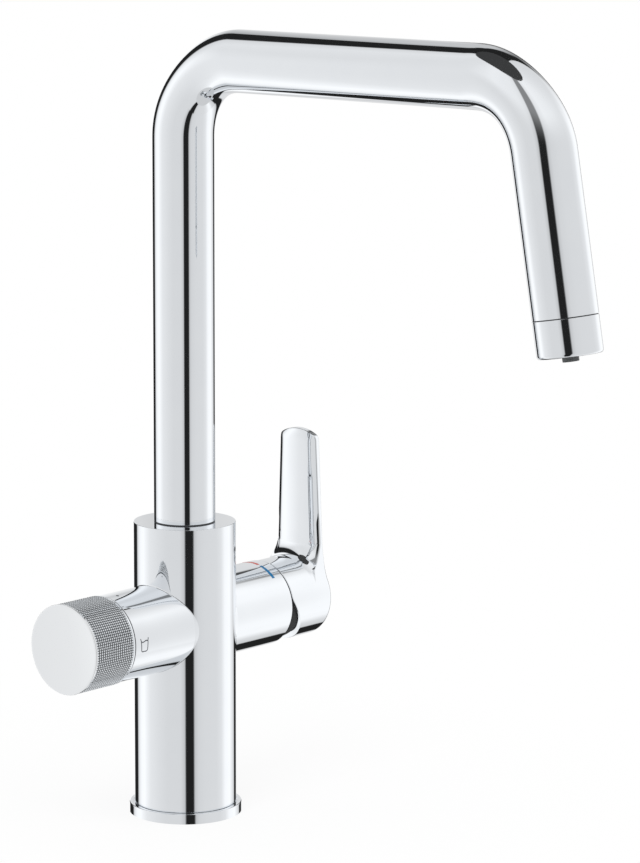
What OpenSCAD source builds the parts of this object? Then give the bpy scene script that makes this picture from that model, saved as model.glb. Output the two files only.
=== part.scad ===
// Kitchen mixer tap with a separate outlet for filtered water.
// Millimetres. +Z is up, the worktop is at z = 0, +X points to the mixer lever, -X to the
// filter knob and -Y to the front, where the spout points at rest.

/* [Base] */
// Diameter of the base ring
base_d = 55.1; // [53.5:0.1:60]
// Height of the base ring
base_h = 5; // [4:0.5:8]
// Diameter of the opening for hoses and stud
base_hole_d = 35; // [33:0.5:37]
// Height of the lip that carries the inlet plate
base_lip_h = 2; // [1.5:0.5:3]
// Thickness of the rubber ring in the underside
base_seal_t = 1.4; // [1:0.1:2]
// Width of the rubber ring in the underside
base_seal_w = 2.6; // [1.5:0.1:3]
// Depth of the shadow groove round the foot of the body
foot_groove = 0.5; // [0.2:0.1:0.8]

/* [Body] */
// Diameter of the body column
body_d = 50; // [49:0.1:51]
// Height of the body's top face
body_top = 145; // [142:0.5:160]
// Wall of the body column
body_wall = 3.5; // [2.5:0.1:4]
// Height of the branch axes
branch_z = 95.15; // [92:0.5:97]
// Bevel along the turned edges
edge_bevel = 0.5; // [0.2:0.1:0.8]
// Depth of the solid neck that guides the spout
neck_h = 33; // [31:0.5:35]
// Bore of the neck
neck_bore_d = 28.4; // [28:0.1:29.5]

/* [Inlets] */
// Thickness of the brass inlet plate
plate_t = 18; // [16:0.5:22]
// Core diameter of the three hose threads
hose_thread_d = 9; // [8.6:0.1:9.4]
// Depth of the three hose threads
hose_thread_len = 10; // [8:0.5:12]
// Distance of the cold and hot inlets from the middle, across
inlet_x = 7.5; // [7:0.1:8.5]
// Distance of the cold and hot inlets from the middle, front to back
inlet_y = 8; // [7.5:0.1:9]
// Distance of the filtered inlet from the middle
filter_inlet_x = 11; // [10:0.1:12]
// Core diameter of the fixing stud's thread
stud_thread_d = 6.8; // [6.6:0.1:7]
// Depth of the fixing stud's thread
stud_thread_len = 12; // [8:0.5:14]
// Diameter of the water channels
channel_d = 5.2; // [4.5:0.1:5.6]
// Ring thickness of the small seals
seal_t = 1.2; // [1:0.1:1.6]

/* [Mixer branch] */
// Diameter of the mixer branch
mixer_d = 42.4; // [42:0.1:44]
// Length of the mixer branch from the body's axis
mixer_len = 55.6; // [55:0.1:58]
// Diameter of the cartridge
cartridge_d = 35; // [34.5:0.1:35.5]
// Height of the cartridge's base plate
cartridge_base_h = 3.8; // [3.5:0.1:4.5]
// Height of the chamber that holds the discs
disc_chamber_h = 11; // [10.8:0.1:12]
// Height from the chamber to the cartridge's shoulder
shoulder_h = 6; // [5:0.1:7]
// Thickness of the fixed disc
fixed_disc_t = 3.5; // [3:0.1:4]
// Thickness of the moving disc
moving_disc_t = 3; // [2.5:0.1:3.2]
// Diameter of the moving disc
moving_disc_d = 19; // [18:0.1:20]
// Height of the disc driver
driver_h = 3.5; // [3:0.1:3.6]
// Diameter of the carrier that turns with the lever
carrier_d = 20; // [19:0.1:21]
// Diameter of the cartridge's neck
cartridge_neck_d = 24; // [23:0.1:25]
// Height of the threaded ring that clamps the cartridge
nut_h = 3; // [2.4:0.1:3.4]
// Length of the thread for that ring
nut_thread_len = 4.1; // [3.5:0.1:4.5]
// Diameter of the thread for that ring
nut_d = 37.8; // [37.4:0.1:38.2]

/* [Lever] */
// Tilt pivot's distance from the body's axis
pivot_x = 61.5; // [61:0.1:62.5]
// Largest tilt of the lever, fully open
tilt_max = 16; // [10:0.5:16.5]
// Diameter of the lever's hub
hub_d = 41.4; // [41:0.1:42]
// Wall of the hub round its round hollow
hub_wall = 1.2; // [1:0.1:1.5]
// Gap between branch and hub at the top
hub_gap = 1.2; // [1.1:0.1:1.6]
// Height over the branch axis below which the hub's mouth is cut back
mouth_bend_h = 4.3; // [3:0.1:6]
// Slope of the cut-back part of the mouth, from upright
mouth_slope = 29; // [24:1:31]
// Outer face of the hub and back of the blade, from the body's axis
lever_x = 86.7; // [85:0.1:90]
// Rounding of the hub's outer edge
hub_round = 2; // [0.5:0.1:2.5]
// Height of the blade's tip above the branch axis
blade_h = 85; // [70:1:110]
// Width of the blade at its tip
blade_tip_w = 23.6; // [20:0.2:28]
// Width of the blade's flanks where they would meet the hub's axis
blade_root_w = 30.6; // [27:0.2:34]
// Thickness of the blade along its middle
blade_t = 5.1; // [4:0.1:6]
// Radius of the blade's crowned face
blade_crown_r = 60; // [45:5:120]
// Height of the hollow sweep from the hub up into the blade's face
sweep_h = 14; // [8:1:20]
// Depth of the hollow sweep, measured along the hub
sweep_t = 10.5; // [7:0.5:12]
// Thickness of the lever where the sweep ends
sweep_end_t = 3.1; // [2:0.1:3.5]
// Radius of the flare from the hub's sides to the blade
flare_r = 50; // [30:1:70]
// Crown of the tip above its corners
tip_crown = 3.6; // [1:0.2:6]
// Radius of the cover cap under the lever
cap_r = 19.1; // [18.6:0.1:19.2]
// Wall of the cover cap
cap_wall = 1.1; // [0.9:0.1:1.4]
// Height of the cover cap beyond the pivot
cap_crown = 8; // [6:0.2:9]
// Thickness of the stem
stem_w = 6; // [5.5:0.1:6.5]
// Diameter of the tilt pin
pin_d = 3; // [2.5:0.1:3.4]
// Diameter of the ball at the stem's inner end
ball_d = 4; // [3.6:0.1:4.4]
// Diameter of the grub screw in the lever
lever_screw_d = 5; // [4:0.5:6]
// Diameter of the plug over that screw
lever_plug_d = 6.4; // [6.2:0.1:7]

/* [Filter branch] */
// Diameter of the filter branch
filter_d = 42.6; // [42:0.1:44]
// Length of the filter branch from the body's axis
filter_len = 56.9; // [56:0.1:60]
// Distance of the headpart's seat from the body's axis
seat_x = 31; // [30:0.5:32]
// Diameter of the headpart's thread
headpart_d = 20; // [19:0.1:21]
// Depth of the recess at the branch's mouth
mouth_depth = 10; // [8:0.5:12]
// Diameter of the recess at the branch's mouth
mouth_d = 35; // [34:0.5:36]
// Diameter of the valve spindle
spindle_d = 8; // [7.5:0.1:9]

/* [Filter knob] */
// Diameter of the knob
knob_d = 43.5; // [43:0.1:45]
// Length of the knob with its cap
knob_len = 26.5; // [22:0.5:32]
// Gap between branch and knob
knob_gap = 0.8; // [0.5:0.1:1.2]
// Wall of the knob's sleeve
knob_wall = 2; // [1.5:0.1:3]
// Depth of the knurl
knurl_depth = 0.35; // [0.2:0.05:0.5]
// Number of teeth round the knurl
knurl_count = 80; // [60:2:120]
// Smooth land at the inner end of the knurl
knurl_land_in = 2.2; // [1:0.1:4]
// Smooth land at the outer end of the knurl
knurl_land_out = 1.1; // [0.8:0.1:3]
// Thickness of the end cap
knob_cap_t = 1.6; // [1.2:0.1:2.5]

/* [Spout] */
// Diameter of the spout tube
tube_d = 30; // [29:0.1:31]
// Wall of the spout tube
tube_wall = 1.2; // [1:0.1:1.5]
// Height of the upper tube's axis
bar_z = 370.8; // [330:1:420]
// Reach from the riser's axis to the corner of the outlet tube
reach = 212.2; // [190:1:230]
// Outward lean of the outlet tube
lean = 10; // [0:1:15]
// Radius of both bends, to the tube's axis
bend_r = 38; // [36:1:50]
// Length of the outlet tube from the corner to the joint
drop_len = 105.3; // [95:0.5:130]
// Height of the bearing flange that shows under the foot ring
flange_t = 0.4; // [0.3:0.1:0.8]
// Height of the foot ring
foot_ring_h = 2.1; // [1.5:0.1:4]
// Diameter of the spigot's journal
journal_d = 25; // [24.5:0.1:25.4]
// Wall of the spigot
spigot_wall = 2; // [1.8:0.1:2.2]
// Length of the spigot inside the tube
spigot_grip = 25; // [15:1:40]
// Height of each bearing bush
bush_h = 6; // [5:0.5:7]
// Diameter of the stop screw
stop_screw_d = 5; // [4:0.5:6]
// Swivel to each side
swivel_max = 75; // [30:5:90]
// Diameter of the inner tube for filtered water
inner_tube_d = 8; // [7:0.1:9]
// Wall of the inner tube
inner_tube_wall = 1; // [0.8:0.1:1.4]

/* [Outlet] */
// Length of the outlet sleeve
sleeve_len = 17; // [15:0.5:22]
// Width of the joint above the sleeve
joint_w = 0.5; // [0.3:0.1:0.8]
// Depth of the joint
joint_depth = 0.4; // [0.2:0.1:0.6]
// Rounding of the sleeve's lower edge
sleeve_round = 1.4; // [0.5:0.1:2]
// Diameter of the filter nozzle
nozzle_d = 7.6; // [7:0.1:9]
// How far the nozzle stands out
nozzle_out = 2.5; // [1.5:0.1:5]

/* [Marks] */
// Distance of the temperature marks from the branch's end
mark_inset = 6.2; // [4:0.1:8]
// Width of the temperature marks
mark_w = 0.8; // [0.5:0.1:1.2]
// Depth of the engraving
mark_depth = 0.3; // [0.2:0.05:0.5]
// Angle from the top towards the front where the cold mark starts
cold_from = 16; // [14:1:20]
// Angle that each temperature mark spans
mark_sweep = 28; // [15:1:40]
// Gap between the two temperature marks, as an angle
mark_gap = 4; // [2:1:10]
// Distance of the tumbler sign from the branch's end
glass_inset = 6; // [5:0.2:9]
// Width of the tumbler sign at its rim
glass_w = 6.2; // [4:0.2:8]
// Height of the tumbler sign
glass_h = 7.4; // [5:0.2:9]
// Line width of the tumbler sign
glass_line = 0.6; // [0.4:0.1:0.9]

/* [Clearances] */
// Radial clearance of turning fits
run = 0.05; // [0.02:0.01:0.08]
// Gap between parts that move past each other
gap = 0.35; // [0.3:0.05:0.5]
// Radial clearance of fixed fits
fit = 0.1; // [0.05:0.01:0.15]

/* [Hidden] */
$fn = 72;

// How far a cutting shape runs past the face that it opens
past = 1;

body_r = body_d / 2;
bore_r = body_r - body_wall;
plate_top = base_lip_h + plate_t;
core_top = body_top - neck_h;
neck_r = neck_bore_d / 2;
channel_r = channel_d / 2;
hose_r = hose_thread_d / 2;

// Places of the three hose inlets, cold, hot and filtered
inlets = [[inlet_x, inlet_y], [inlet_x, -inlet_y], [-filter_inlet_x, 0]];

// Mixer cartridge, along the branch from its floor
cartridge_r = cartridge_d / 2 - fit;
nut_seat = 0.3;
seal_stand = 0.2;
floor_x = mixer_len - nut_seat - nut_h - shoulder_h - disc_chamber_h - cartridge_base_h;
base_x = floor_x + seal_stand;
disc_x = floor_x + cartridge_base_h;
slide_x = disc_x + fixed_disc_t;
chamber_end = disc_x + disc_chamber_h;
shoulder_x = chamber_end + shoulder_h;
chamber_r = cartridge_r - 1.8;
port_r = channel_r;
seal_out_r = channel_r + 2;
port_z = 4.5;
mixed_z = 9;
mixed_x = 12;

hot_from = cold_from - mark_gap - mark_sweep;

// Lever
hub_r = hub_d / 2;
// The blade's blends start a little inside the hub's surface and cross it
blend_r = hub_r - 0.3;
plug_depth = 3;
hub_start = mixer_len + hub_gap;
cavity_r = hub_r - hub_wall;
ball_x = slide_x + moving_disc_t + ball_d / 2 + gap;
ball_arm = pivot_x - ball_x;
stem_half = stem_w / 2;
stem_end = lever_x - 7.7;
boss_r = 9;
boss_x = pivot_x + 9.7;
screw_x = stem_end - 3;

// Filter valve, along its branch
return_z = 7.5;
return_r = 1.8;
screw_core_r = 2;
adapter_t = 4;
adapter_rim = 1.6;
mouth_x = filter_len - mouth_depth;
spindle_r = spindle_d / 2;
headpart_r = headpart_d / 2;
knob_r = knob_d / 2;
// The knurl's crests lie a hair below the lands
crest_r = knob_r - 0.05;
knob_start = filter_len + knob_gap;
knob_end = knob_start + knob_len;
valve_disc_t = 3;
valve_disc_r = 7.5;
hex_h = 8;
hex_d = 27;
adapter_hub_r = 7.5;
hex_x = mouth_x + fit;
headpart_end = hex_x + hex_h;
spindle_end = headpart_end + 11;

// Spout
tube_r = tube_d / 2;
tube_bore_r = tube_r - tube_wall;
foot_z = body_top + flange_t + run;
tube_z = foot_z + foot_ring_h;
journal_r = journal_d / 2;
spigot_bore_r = journal_r - spigot_wall;
spigot_z = core_top + 1.5;
upper_bush_z = body_top - bush_h;
lower_bush_z = core_top + 2;
stop_z = lower_bush_z + bush_h + 5.5;
stop_depth = 1.1;
stop_tip_r = 1.5;
seal_depth = 1.2;
seal_heights = [stop_z + 5, upper_bush_z - 3.5];
bend_turn = 90 - lean;
lap = 1;
seam = 0.05;
corner_len = bend_r * tan(bend_turn / 2);
inner_tube_r = inner_tube_d / 2;
inner_socket = 8;
outlet_top = drop_len + joint_w;
outlet_end = outlet_top + sleeve_len;
adapter_h = 9;
aerator_r = tube_r - 2.4;

module chrome() { color([0.86, 0.87, 0.89]) children(); }
module brass() { color([0.80, 0.64, 0.34]) children(); }
module steel() { color([0.70, 0.71, 0.73]) children(); }
module dark_plastic() { color([0.14, 0.14, 0.15]) children(); }
module pale_plastic() { color([0.85, 0.85, 0.83]) children(); }
module rubber() { color([0.08, 0.08, 0.08]) children(); }
module ceramic() { color([0.93, 0.92, 0.88]) children(); }

// Everything that lies along the mixer branch: z runs outwards from the body's axis
module on_mixer() { translate([0, 0, branch_z]) rotate([0, 90, 0]) children(); }

// The same along the filter branch
module on_filter() { mirror([1, 0, 0]) on_mixer() children(); }

// A straight round bar between two heights
module bar(r, z0, z1) { translate([0, 0, z0]) cylinder(r = r, h = z1 - z0); }

// A straight ring between two heights
module ring(r, hole, z0, z1) {
    difference() {
        bar(r, z0, z1);
        bar(hole, z0 - past, z1 + past);
    }
}

// A bar whose upper edge is bevelled
module bevelled(r, z0, z1, bevel) {
    rotate_extrude()
        polygon([[0, z0], [r, z0], [r, z1 - bevel], [r - bevel, z1], [0, z1]]);
}

module base_ring() {
    groove_r = base_d / 2 - 0.3 - base_seal_w;
    chrome() difference() {
        bevelled(base_d / 2, 0, base_h, edge_bevel);
        bar(base_hole_d / 2, -past, base_h + past);
        bar(bore_r, base_lip_h, base_h + past);
        ring(body_r + foot_groove, body_r, base_h - foot_groove, base_h + past);
        ring(groove_r + base_seal_w, groove_r, -past, base_seal_t);
    }
}

module base_seal() {
    groove_r = base_d / 2 - 0.3 - base_seal_w;
    rubber() ring(groove_r + base_seal_w, groove_r, 0, base_seal_t);
}

module body_shell() {
    chrome() difference() {
        union() {
            bevelled(body_r, base_h, body_top, edge_bevel);
            on_mixer() bevelled(mixer_d / 2, 0, mixer_len, edge_bevel / 2);
            on_filter() bevelled(filter_d / 2, 0, filter_len, edge_bevel / 2);
        }
        bar(bore_r, base_h - past, core_top);
        bar(neck_r, core_top - past, body_top + past);
        mixer_branch_bores();
        filter_branch_bores();
        stop_screw_bore();
        temperature_arc(hot_from, mark_depth + past);
        temperature_arc(cold_from, mark_depth + past);
        tumbler_sign(mark_depth + past);
    }
}

module mixer_branch_bores() {
    on_mixer() bar(cartridge_d / 2, floor_x, mixer_len + past);
    on_mixer() bar(nut_d / 2, mixer_len - nut_thread_len, mixer_len + past);
    mixer_ports(0, floor_x + past);
}

// The three ports of the mixer valve, as bores between two distances from the body's axis
module mixer_ports(x0, x1) {
    for (side = [-1, 1])
        translate([0, side * inlet_y, -port_z]) on_mixer() bar(port_r, x0 + bore_r - 4, x1);
    translate([0, 0, mixed_z]) on_mixer() bar(port_r, x0 + bore_r - 4, x1);
}

module filter_branch_bores() {
    on_filter() bar(mouth_d / 2, mouth_x, filter_len + past);
    on_filter() bar(headpart_r, seat_x, filter_len);
    filter_ports(seat_x + past);
}

// Way in to the filter valve through its seat, and way back above it
module filter_ports(x1) {
    on_filter() bar(port_r, bore_r - 4, x1);
    translate([0, 0, return_z]) on_filter() bar(return_r, bore_r - 4, x1);
}

module stop_screw_bore() {
    translate([0, 0, stop_z]) rotate([-90, 0, 0]) bar(stop_screw_d / 2, 0, body_r + past);
}

module stop_screw() {
    reach_in = journal_r - stop_depth + gap;
    steel() translate([0, 0, stop_z]) rotate([-90, 0, 0]) difference() {
        union() {
            bar(stop_screw_d / 2, neck_r + 0.5, body_r - 1.5);
            bar(stop_tip_r, reach_in, body_r - 2);
        }
        translate([0, 0, body_r - 4]) cylinder(d = 2.9, h = 4, $fn = 6);
    }
}

module inlet_plate() {
    brass() difference() {
        bar(bore_r, base_lip_h, plate_top);
        for (p = inlets) translate([p[0], p[1], 0]) {
            bar(hose_r, 0, base_lip_h + hose_thread_len);
            bar(channel_r, 0, plate_top + past);
        }
        bar(stud_thread_d / 2, 0, base_lip_h + stud_thread_len);
    }
}

module waterway_core() {
    valve_z = branch_z - port_z;
    dark_plastic() difference() {
        bar(bore_r - fit, plate_top, core_top);
        for (side = [-1, 1]) {
            translate([inlet_x, side * inlet_y, 0]) bar(channel_r, plate_top - past, valve_z);
            translate([inlet_x, side * inlet_y, valve_z]) rotate([0, 90, 0]) bar(port_r, 0, body_r);
        }
        translate([mixed_x, 0, 0]) bar(channel_r, branch_z + mixed_z, core_top + past);
        translate([mixed_x, 0, branch_z + mixed_z]) rotate([0, 90, 0]) bar(port_r, 0, body_r);
        translate([-filter_inlet_x, 0, 0]) bar(channel_r, plate_top - past, branch_z);
        translate([-filter_inlet_x, 0, 0]) on_filter() bar(port_r, 0, body_r);
        translate([0, 0, return_z]) on_filter() bar(return_r, 0, body_r);
        bar(return_r, branch_z + return_z, core_top);
        bar(inner_tube_r + run, core_top - inner_socket, core_top + past);
        for (p = inlets) translate([p[0], p[1], 0]) bar(seal_out_r, plate_top - past, plate_top + seal_t);
    }
}

module core_seals() {
    rubber() for (p = inlets) translate([p[0], p[1], 0])
        ring(seal_out_r, channel_r + 0.3, plate_top, plate_top + seal_t);
}

// Arc of enamel round the mixer branch; angles run from the top towards the front
module temperature_arc(from, depth) {
    r = mixer_d / 2;
    translate([0, 0, branch_z]) rotate([0, 90, 0])
        translate([0, 0, mixer_len - mark_inset - mark_w])
            rotate([0, 0, 180 + from]) rotate_extrude(angle = mark_sweep)
                translate([r - mark_depth, 0]) square([depth, mark_w]);
}

module hot_mark() { color([0.85, 0.22, 0.16]) temperature_arc(hot_from, mark_depth); }
module cold_mark() { color([0.10, 0.45, 0.75]) temperature_arc(cold_from, mark_depth); }

// A tumbler outline on the front of the filter branch, with a wave for the water in it
module tumbler_outline() {
    half = glass_w / 2;
    foot = half * 0.62;
    difference() {
        polygon([[-half, glass_h / 2], [-foot, -glass_h / 2], [foot, -glass_h / 2], [half, glass_h / 2]]);
        polygon([
            [-half + glass_line, glass_h / 2 + past], [-foot + glass_line, glass_line - glass_h / 2],
            [foot - glass_line, glass_line - glass_h / 2], [half - glass_line, glass_h / 2 + past]
        ]);
    }
    translate([0, glass_h * 0.16]) square([glass_w - 2 * glass_line, glass_line], center = true);
}

module tumbler_sign(depth) {
    r = filter_d / 2;
    intersection() {
        translate([-filter_len + glass_inset, 0, branch_z]) rotate([90, 0, 0])
            linear_extrude(height = r + past) tumbler_outline();
        on_filter() ring(r - mark_depth + depth, r - mark_depth, 0, filter_len);
    }
}

module glass_mark() { color([0.25, 0.26, 0.28]) tumbler_sign(mark_depth); }

module upper_bush() {
    dark_plastic() union() {
        ring(neck_r, journal_r + run, upper_bush_z, body_top);
        ring(tube_r - 0.1, journal_r + run, body_top, body_top + flange_t);
    }
}

module lower_bush() {
    dark_plastic() ring(neck_r, journal_r + run, lower_bush_z, lower_bush_z + bush_h);
}

module cartridge_base() {
    pale_plastic() difference() {
        on_mixer() bar(cartridge_r, base_x, disc_x);
        mixer_ports(0, disc_x + past);
        valve_seal_places() bar(seal_out_r, 0, floor_x + seal_stand + seal_t);
    }
}

// The three port seals stand a little proud of the base and press on the branch's floor
module valve_seal_places() {
    for (side = [-1, 1]) translate([0, side * inlet_y, -port_z]) on_mixer() children();
    translate([0, 0, mixed_z]) on_mixer() children();
}

module cartridge_seals() {
    rubber() valve_seal_places()
        ring(seal_out_r, port_r + 0.3, floor_x, floor_x + seal_stand + seal_t);
}

module cartridge_fixed_disc() {
    ceramic() difference() {
        on_mixer() bar(chamber_r - fit, disc_x, slide_x);
        mixer_ports(0, slide_x + past);
    }
}

// A hollow cap with the disc chamber below, and a bored neck above
module cartridge_housing() {
    pale_plastic() on_mixer() difference() {
        union() {
            bar(cartridge_r, disc_x, shoulder_x);
            bar(cartridge_neck_d / 2, shoulder_x - past, pivot_x - 1.5);
        }
        bar(chamber_r, disc_x - past, chamber_end);
        bar(carrier_d / 2 + run, chamber_end - past, pivot_x);
        bar(carrier_d / 2 + 2 + run, chamber_end - past, chamber_end + 1.5 + run);
    }
}

module cartridge_nut() {
    brass() on_mixer() ring(nut_d / 2 - fit, cartridge_neck_d / 2 + fit, shoulder_x, shoulder_x + nut_h);
}

module cartridge_carrier() {
    half = stem_half + 0.3;
    lift = (pivot_x - chamber_end) * sin(tilt_max) + half + gap;
    pale_plastic() difference() {
        on_mixer() union() {
            bar(carrier_d / 2, chamber_end, pivot_x + 3);
            bar(carrier_d / 2 + 2, chamber_end, chamber_end + 1.5);
        }
        translate([chamber_end - past, -half, branch_z - half - 0.4])
            cube([pivot_x - chamber_end + past, 2 * half, half + 0.4 + lift]);
        translate([pivot_x - 2.5, -half, branch_z - half - 2.4])
            cube([6 + past, 2 * half, 2 * half + 4]);
        tilt_pin(pin_d / 2 + fit / 2);
    }
}

module tilt_pin(r) {
    span = sqrt(pow(carrier_d / 2, 2) - pow(pin_d / 2, 2)) - 0.2;
    translate([pivot_x, 0, branch_z]) rotate([90, 0, 0]) bar(r, -span, span);
}

module carrier_pin() { steel() tilt_pin(pin_d / 2); }

module moving_disc() {
    ceramic() on_mixer() difference() {
        bar(moving_disc_d / 2, slide_x + 0.02, slide_x + moving_disc_t);
        translate([2, 0, 0]) bar(channel_r, slide_x - past, slide_x + moving_disc_t - 1);
    }
}

module disc_driver() {
    top = slide_x + moving_disc_t + driver_h;
    pale_plastic() on_mixer() difference() {
        bar(moving_disc_d / 2, slide_x + moving_disc_t, top);
        bar(ball_d / 2 + 0.2, slide_x + moving_disc_t + 0.15, top + past);
    }
}

module cartridge_stem() {
    brass() difference() {
        union() {
            translate([ball_x, 0, branch_z]) sphere(d = ball_d);
            on_mixer() bar(ball_d / 2 - 0.6, ball_x, ball_x + 4.5);
            translate([ball_x + 3.4, -stem_half, branch_z - stem_half])
                cube([stem_end - ball_x - 3.4, stem_w, stem_w]);
        }
        tilt_pin(pin_d / 2 + run);
    }
}

// The hub is a drum with a cut-back mouth and a round hollow for the cover cap
module lever() {
    chrome() difference() {
        union() {
            difference() {
                hub_drum();
                on_mixer() translate([0, 0, pivot_x]) sphere(r = cavity_r);
            }
            on_mixer() bar(boss_r, boss_x, lever_x - blade_t);
            blade();
        }
        translate([boss_x - past, -stem_half - fit, branch_z - stem_half - fit])
            cube([stem_end - boss_x + past + 0.5, stem_w + 2 * fit, stem_w + 2 * fit]);
        on_screw() bar(lever_screw_d / 2, 0, hub_r);
        on_screw() bar(lever_plug_d / 2, hub_r - plug_depth, hub_r + past);
    }
}

module hub_drum() {
    difference() {
        on_mixer() rotate_extrude() union() {
            square([hub_r - hub_round, lever_x]);
            square([hub_r, lever_x - hub_round]);
            translate([hub_r - hub_round, lever_x - hub_round]) circle(r = hub_round, $fn = 48);
        }
        mouth_cut();
    }
}

// Everything on the body's side of the mouth, which is upright above the bend and slopes below it
module mouth_cut() {
    top = hub_r + past;
    drop = mouth_bend_h + top;
    translate([0, 0, branch_z]) rotate([90, 0, 0]) linear_extrude(height = 3 * hub_r, center = true)
        polygon([
            [-past, top],
            [hub_start, top],
            [hub_start, mouth_bend_h],
            [hub_start + drop * tan(mouth_slope), -top],
            [-past, -top]
        ]);
}

// The blade is its front outline cut from a crowned plate and from a hollow sweep up from the hub
module blade() {
    face = lever_x - blade_t;
    intersection() {
        translate([0, 0, branch_z]) rotate([90, 0, 90]) linear_extrude(height = lever_x + past) blade_front();
        union() {
            intersection() {
                on_mixer() bar(blade_h + past, face - past, lever_x);
                translate([face + blade_crown_r, 0, 0])
                    cylinder(r = blade_crown_r, h = branch_z + blade_h + past);
            }
            on_mixer() rotate_extrude() sweep_profile();
        }
    }
}

// Seen from the body: a hollow flare from the hub's round, nearly straight flanks and a crowned tip
module blade_front() {
    tip = blade_tip_w / 2;
    corner_h = blade_h - tip_crown;
    tip_r = (tip * tip + tip_crown * tip_crown) / (2 * tip_crown);
    taper = atan((blade_root_w - blade_tip_w) / 2 / corner_h);
    flare_x = blade_root_w / 2 * cos(taper) + flare_r;
    rise = sqrt(pow(blend_r + flare_r, 2) - pow(flare_x, 2));
    centre = flare_x * [cos(taper), sin(taper)] + rise * [-sin(taper), cos(taper)];
    flank = concat(
        arc(centre, flare_r, 180 + atan(centre[1] / centre[0]), 180 + taper, 10),
        arc([0, blade_h - tip_r], tip_r, acos(tip / tip_r), 90, 8)
    );
    top = len(flank) - 1;
    polygon(concat(flank, [for (i = [top - 1 : -1 : 0]) [-flank[i][0], flank[i][1]]]));
}

// Points along an arc, both ends included
function arc(centre, r, from, to, steps) = [
    for (i = [0 : steps]) let (turn = from + (to - from) * i / steps) centre + r * [cos(turn), sin(turn)]
];

// The sweep's section: a quarter of an ellipse up from the hub, then a slow taper to the back
module sweep_profile() {
    end_x = lever_x - sweep_end_t;
    root_r = hub_r - 2 * hub_round;
    taper_h = 26;
    polygon(concat(
        [[root_r, lever_x], [root_r, end_x - sweep_t]],
        [
            for (turn = [0 : 9 : 90])
                [blend_r + sweep_h * (1 - cos(turn)), end_x - sweep_t * (1 - sin(turn))]
        ],
        [[blend_r + sweep_h + taper_h, lever_x]]
    ));
}

// The screw and its plug lie under the hub, where they don't show
module on_screw() {
    translate([screw_x, 0, branch_z]) rotate([180, 0, 0]) children();
}

module lever_screw() {
    steel() on_screw() difference() {
        bar(lever_screw_d / 2, stem_half, boss_r - 0.5);
        translate([0, 0, boss_r - 3]) cylinder(d = 2.9, h = 3, $fn = 6);
    }
}

module lever_plug() {
    dark_plastic() on_screw() bar(lever_plug_d / 2, hub_r - plug_depth, hub_r - 0.4);
}

// A round shell about the pivot, on a flat flange that covers branch and nut
module cover_cap() {
    flange_x = mixer_len + 0.05;
    chrome() on_mixer() union() {
        difference() {
            intersection() {
                translate([0, 0, pivot_x]) sphere(r = cap_r);
                bar(hub_r, flange_x, pivot_x + cap_crown);
            }
            intersection() {
                translate([0, 0, pivot_x]) sphere(r = cap_r - cap_wall);
                bar(hub_r, flange_x - past, pivot_x + cap_crown - cap_wall);
            }
            bar(cartridge_neck_d / 2 + 0.8, flange_x - past, pivot_x + cap_crown + past);
        }
        ring(mixer_d / 2 - 1, cartridge_neck_d / 2 + 0.05, flange_x, flange_x + 0.7);
    }
}

module headpart_body() {
    nose = seat_x + 3;
    brass() difference() {
        on_filter() union() {
            bar(headpart_r - fit, nose, hex_x);
            translate([0, 0, hex_x]) cylinder(d = hex_d, h = hex_h, $fn = 6);
        }
        on_filter() bar(valve_disc_r + run, nose - past, nose + 2 * valve_disc_t + 2);
        on_filter() bar(spindle_r + run, nose, headpart_end + past);
        for (side = [-1, 1]) translate([0, 0, side * (headpart_r - 1.8)])
            on_filter() bar(1, nose - past, nose + 2 * valve_disc_t);
    }
}

module headpart_seal() {
    rubber() on_filter() ring(headpart_r - 4.6, port_r + 0.8, seat_x, seat_x + 3);
}

module headpart_fixed_disc() {
    nose = seat_x + 3;
    ceramic() on_filter() difference() {
        bar(valve_disc_r, nose, nose + valve_disc_t);
        translate([3, 0, 0]) bar(1.6, nose - past, nose + valve_disc_t + past);
        translate([-3, 0, 0]) bar(1.6, nose - past, nose + valve_disc_t + past);
    }
}

module headpart_turning_disc() {
    nose = seat_x + 3;
    ceramic() on_filter() difference() {
        bar(valve_disc_r - 0.3, nose + valve_disc_t + 0.02, nose + 2 * valve_disc_t);
        translate([0, 3, 0]) bar(1.6, nose, nose + 2 * valve_disc_t + past);
        translate([0, -3, 0]) bar(1.6, nose, nose + 2 * valve_disc_t + past);
    }
}

module headpart_clip() {
    groove_x = headpart_end + 0.4;
    steel() on_filter() difference() {
        ring(spindle_r + 2.2, spindle_r - 0.8 + run, groove_x, groove_x + 0.9);
        translate([0, -1.2, groove_x - past]) cube([spindle_r + 4, 2.4, 3]);
    }
}

module spindle() {
    foot = seat_x + 3 + 2 * valve_disc_t;
    groove_x = headpart_end + 0.4;
    brass() on_filter() difference() {
        union() {
            bar(spindle_r, foot, spindle_end);
            bar(valve_disc_r - 0.5, foot, foot + 1.6);
        }
        ring(spindle_r + past, spindle_r - 0.8, groove_x, groove_x + 0.9);
        ring(spindle_r + past, spindle_r - 0.9, foot + 6, foot + 7.9);
        bar(screw_core_r, spindle_end - 8, spindle_end + past);
        translate([spindle_r - 1, -spindle_r, spindle_end - 7]) cube([2, 2 * spindle_r, 8]);
    }
}

module spindle_seal() {
    foot = seat_x + 3 + 2 * valve_disc_t;
    rubber() on_filter() ring(spindle_r, spindle_r - 0.9, foot + 6, foot + 7.9);
}

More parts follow.
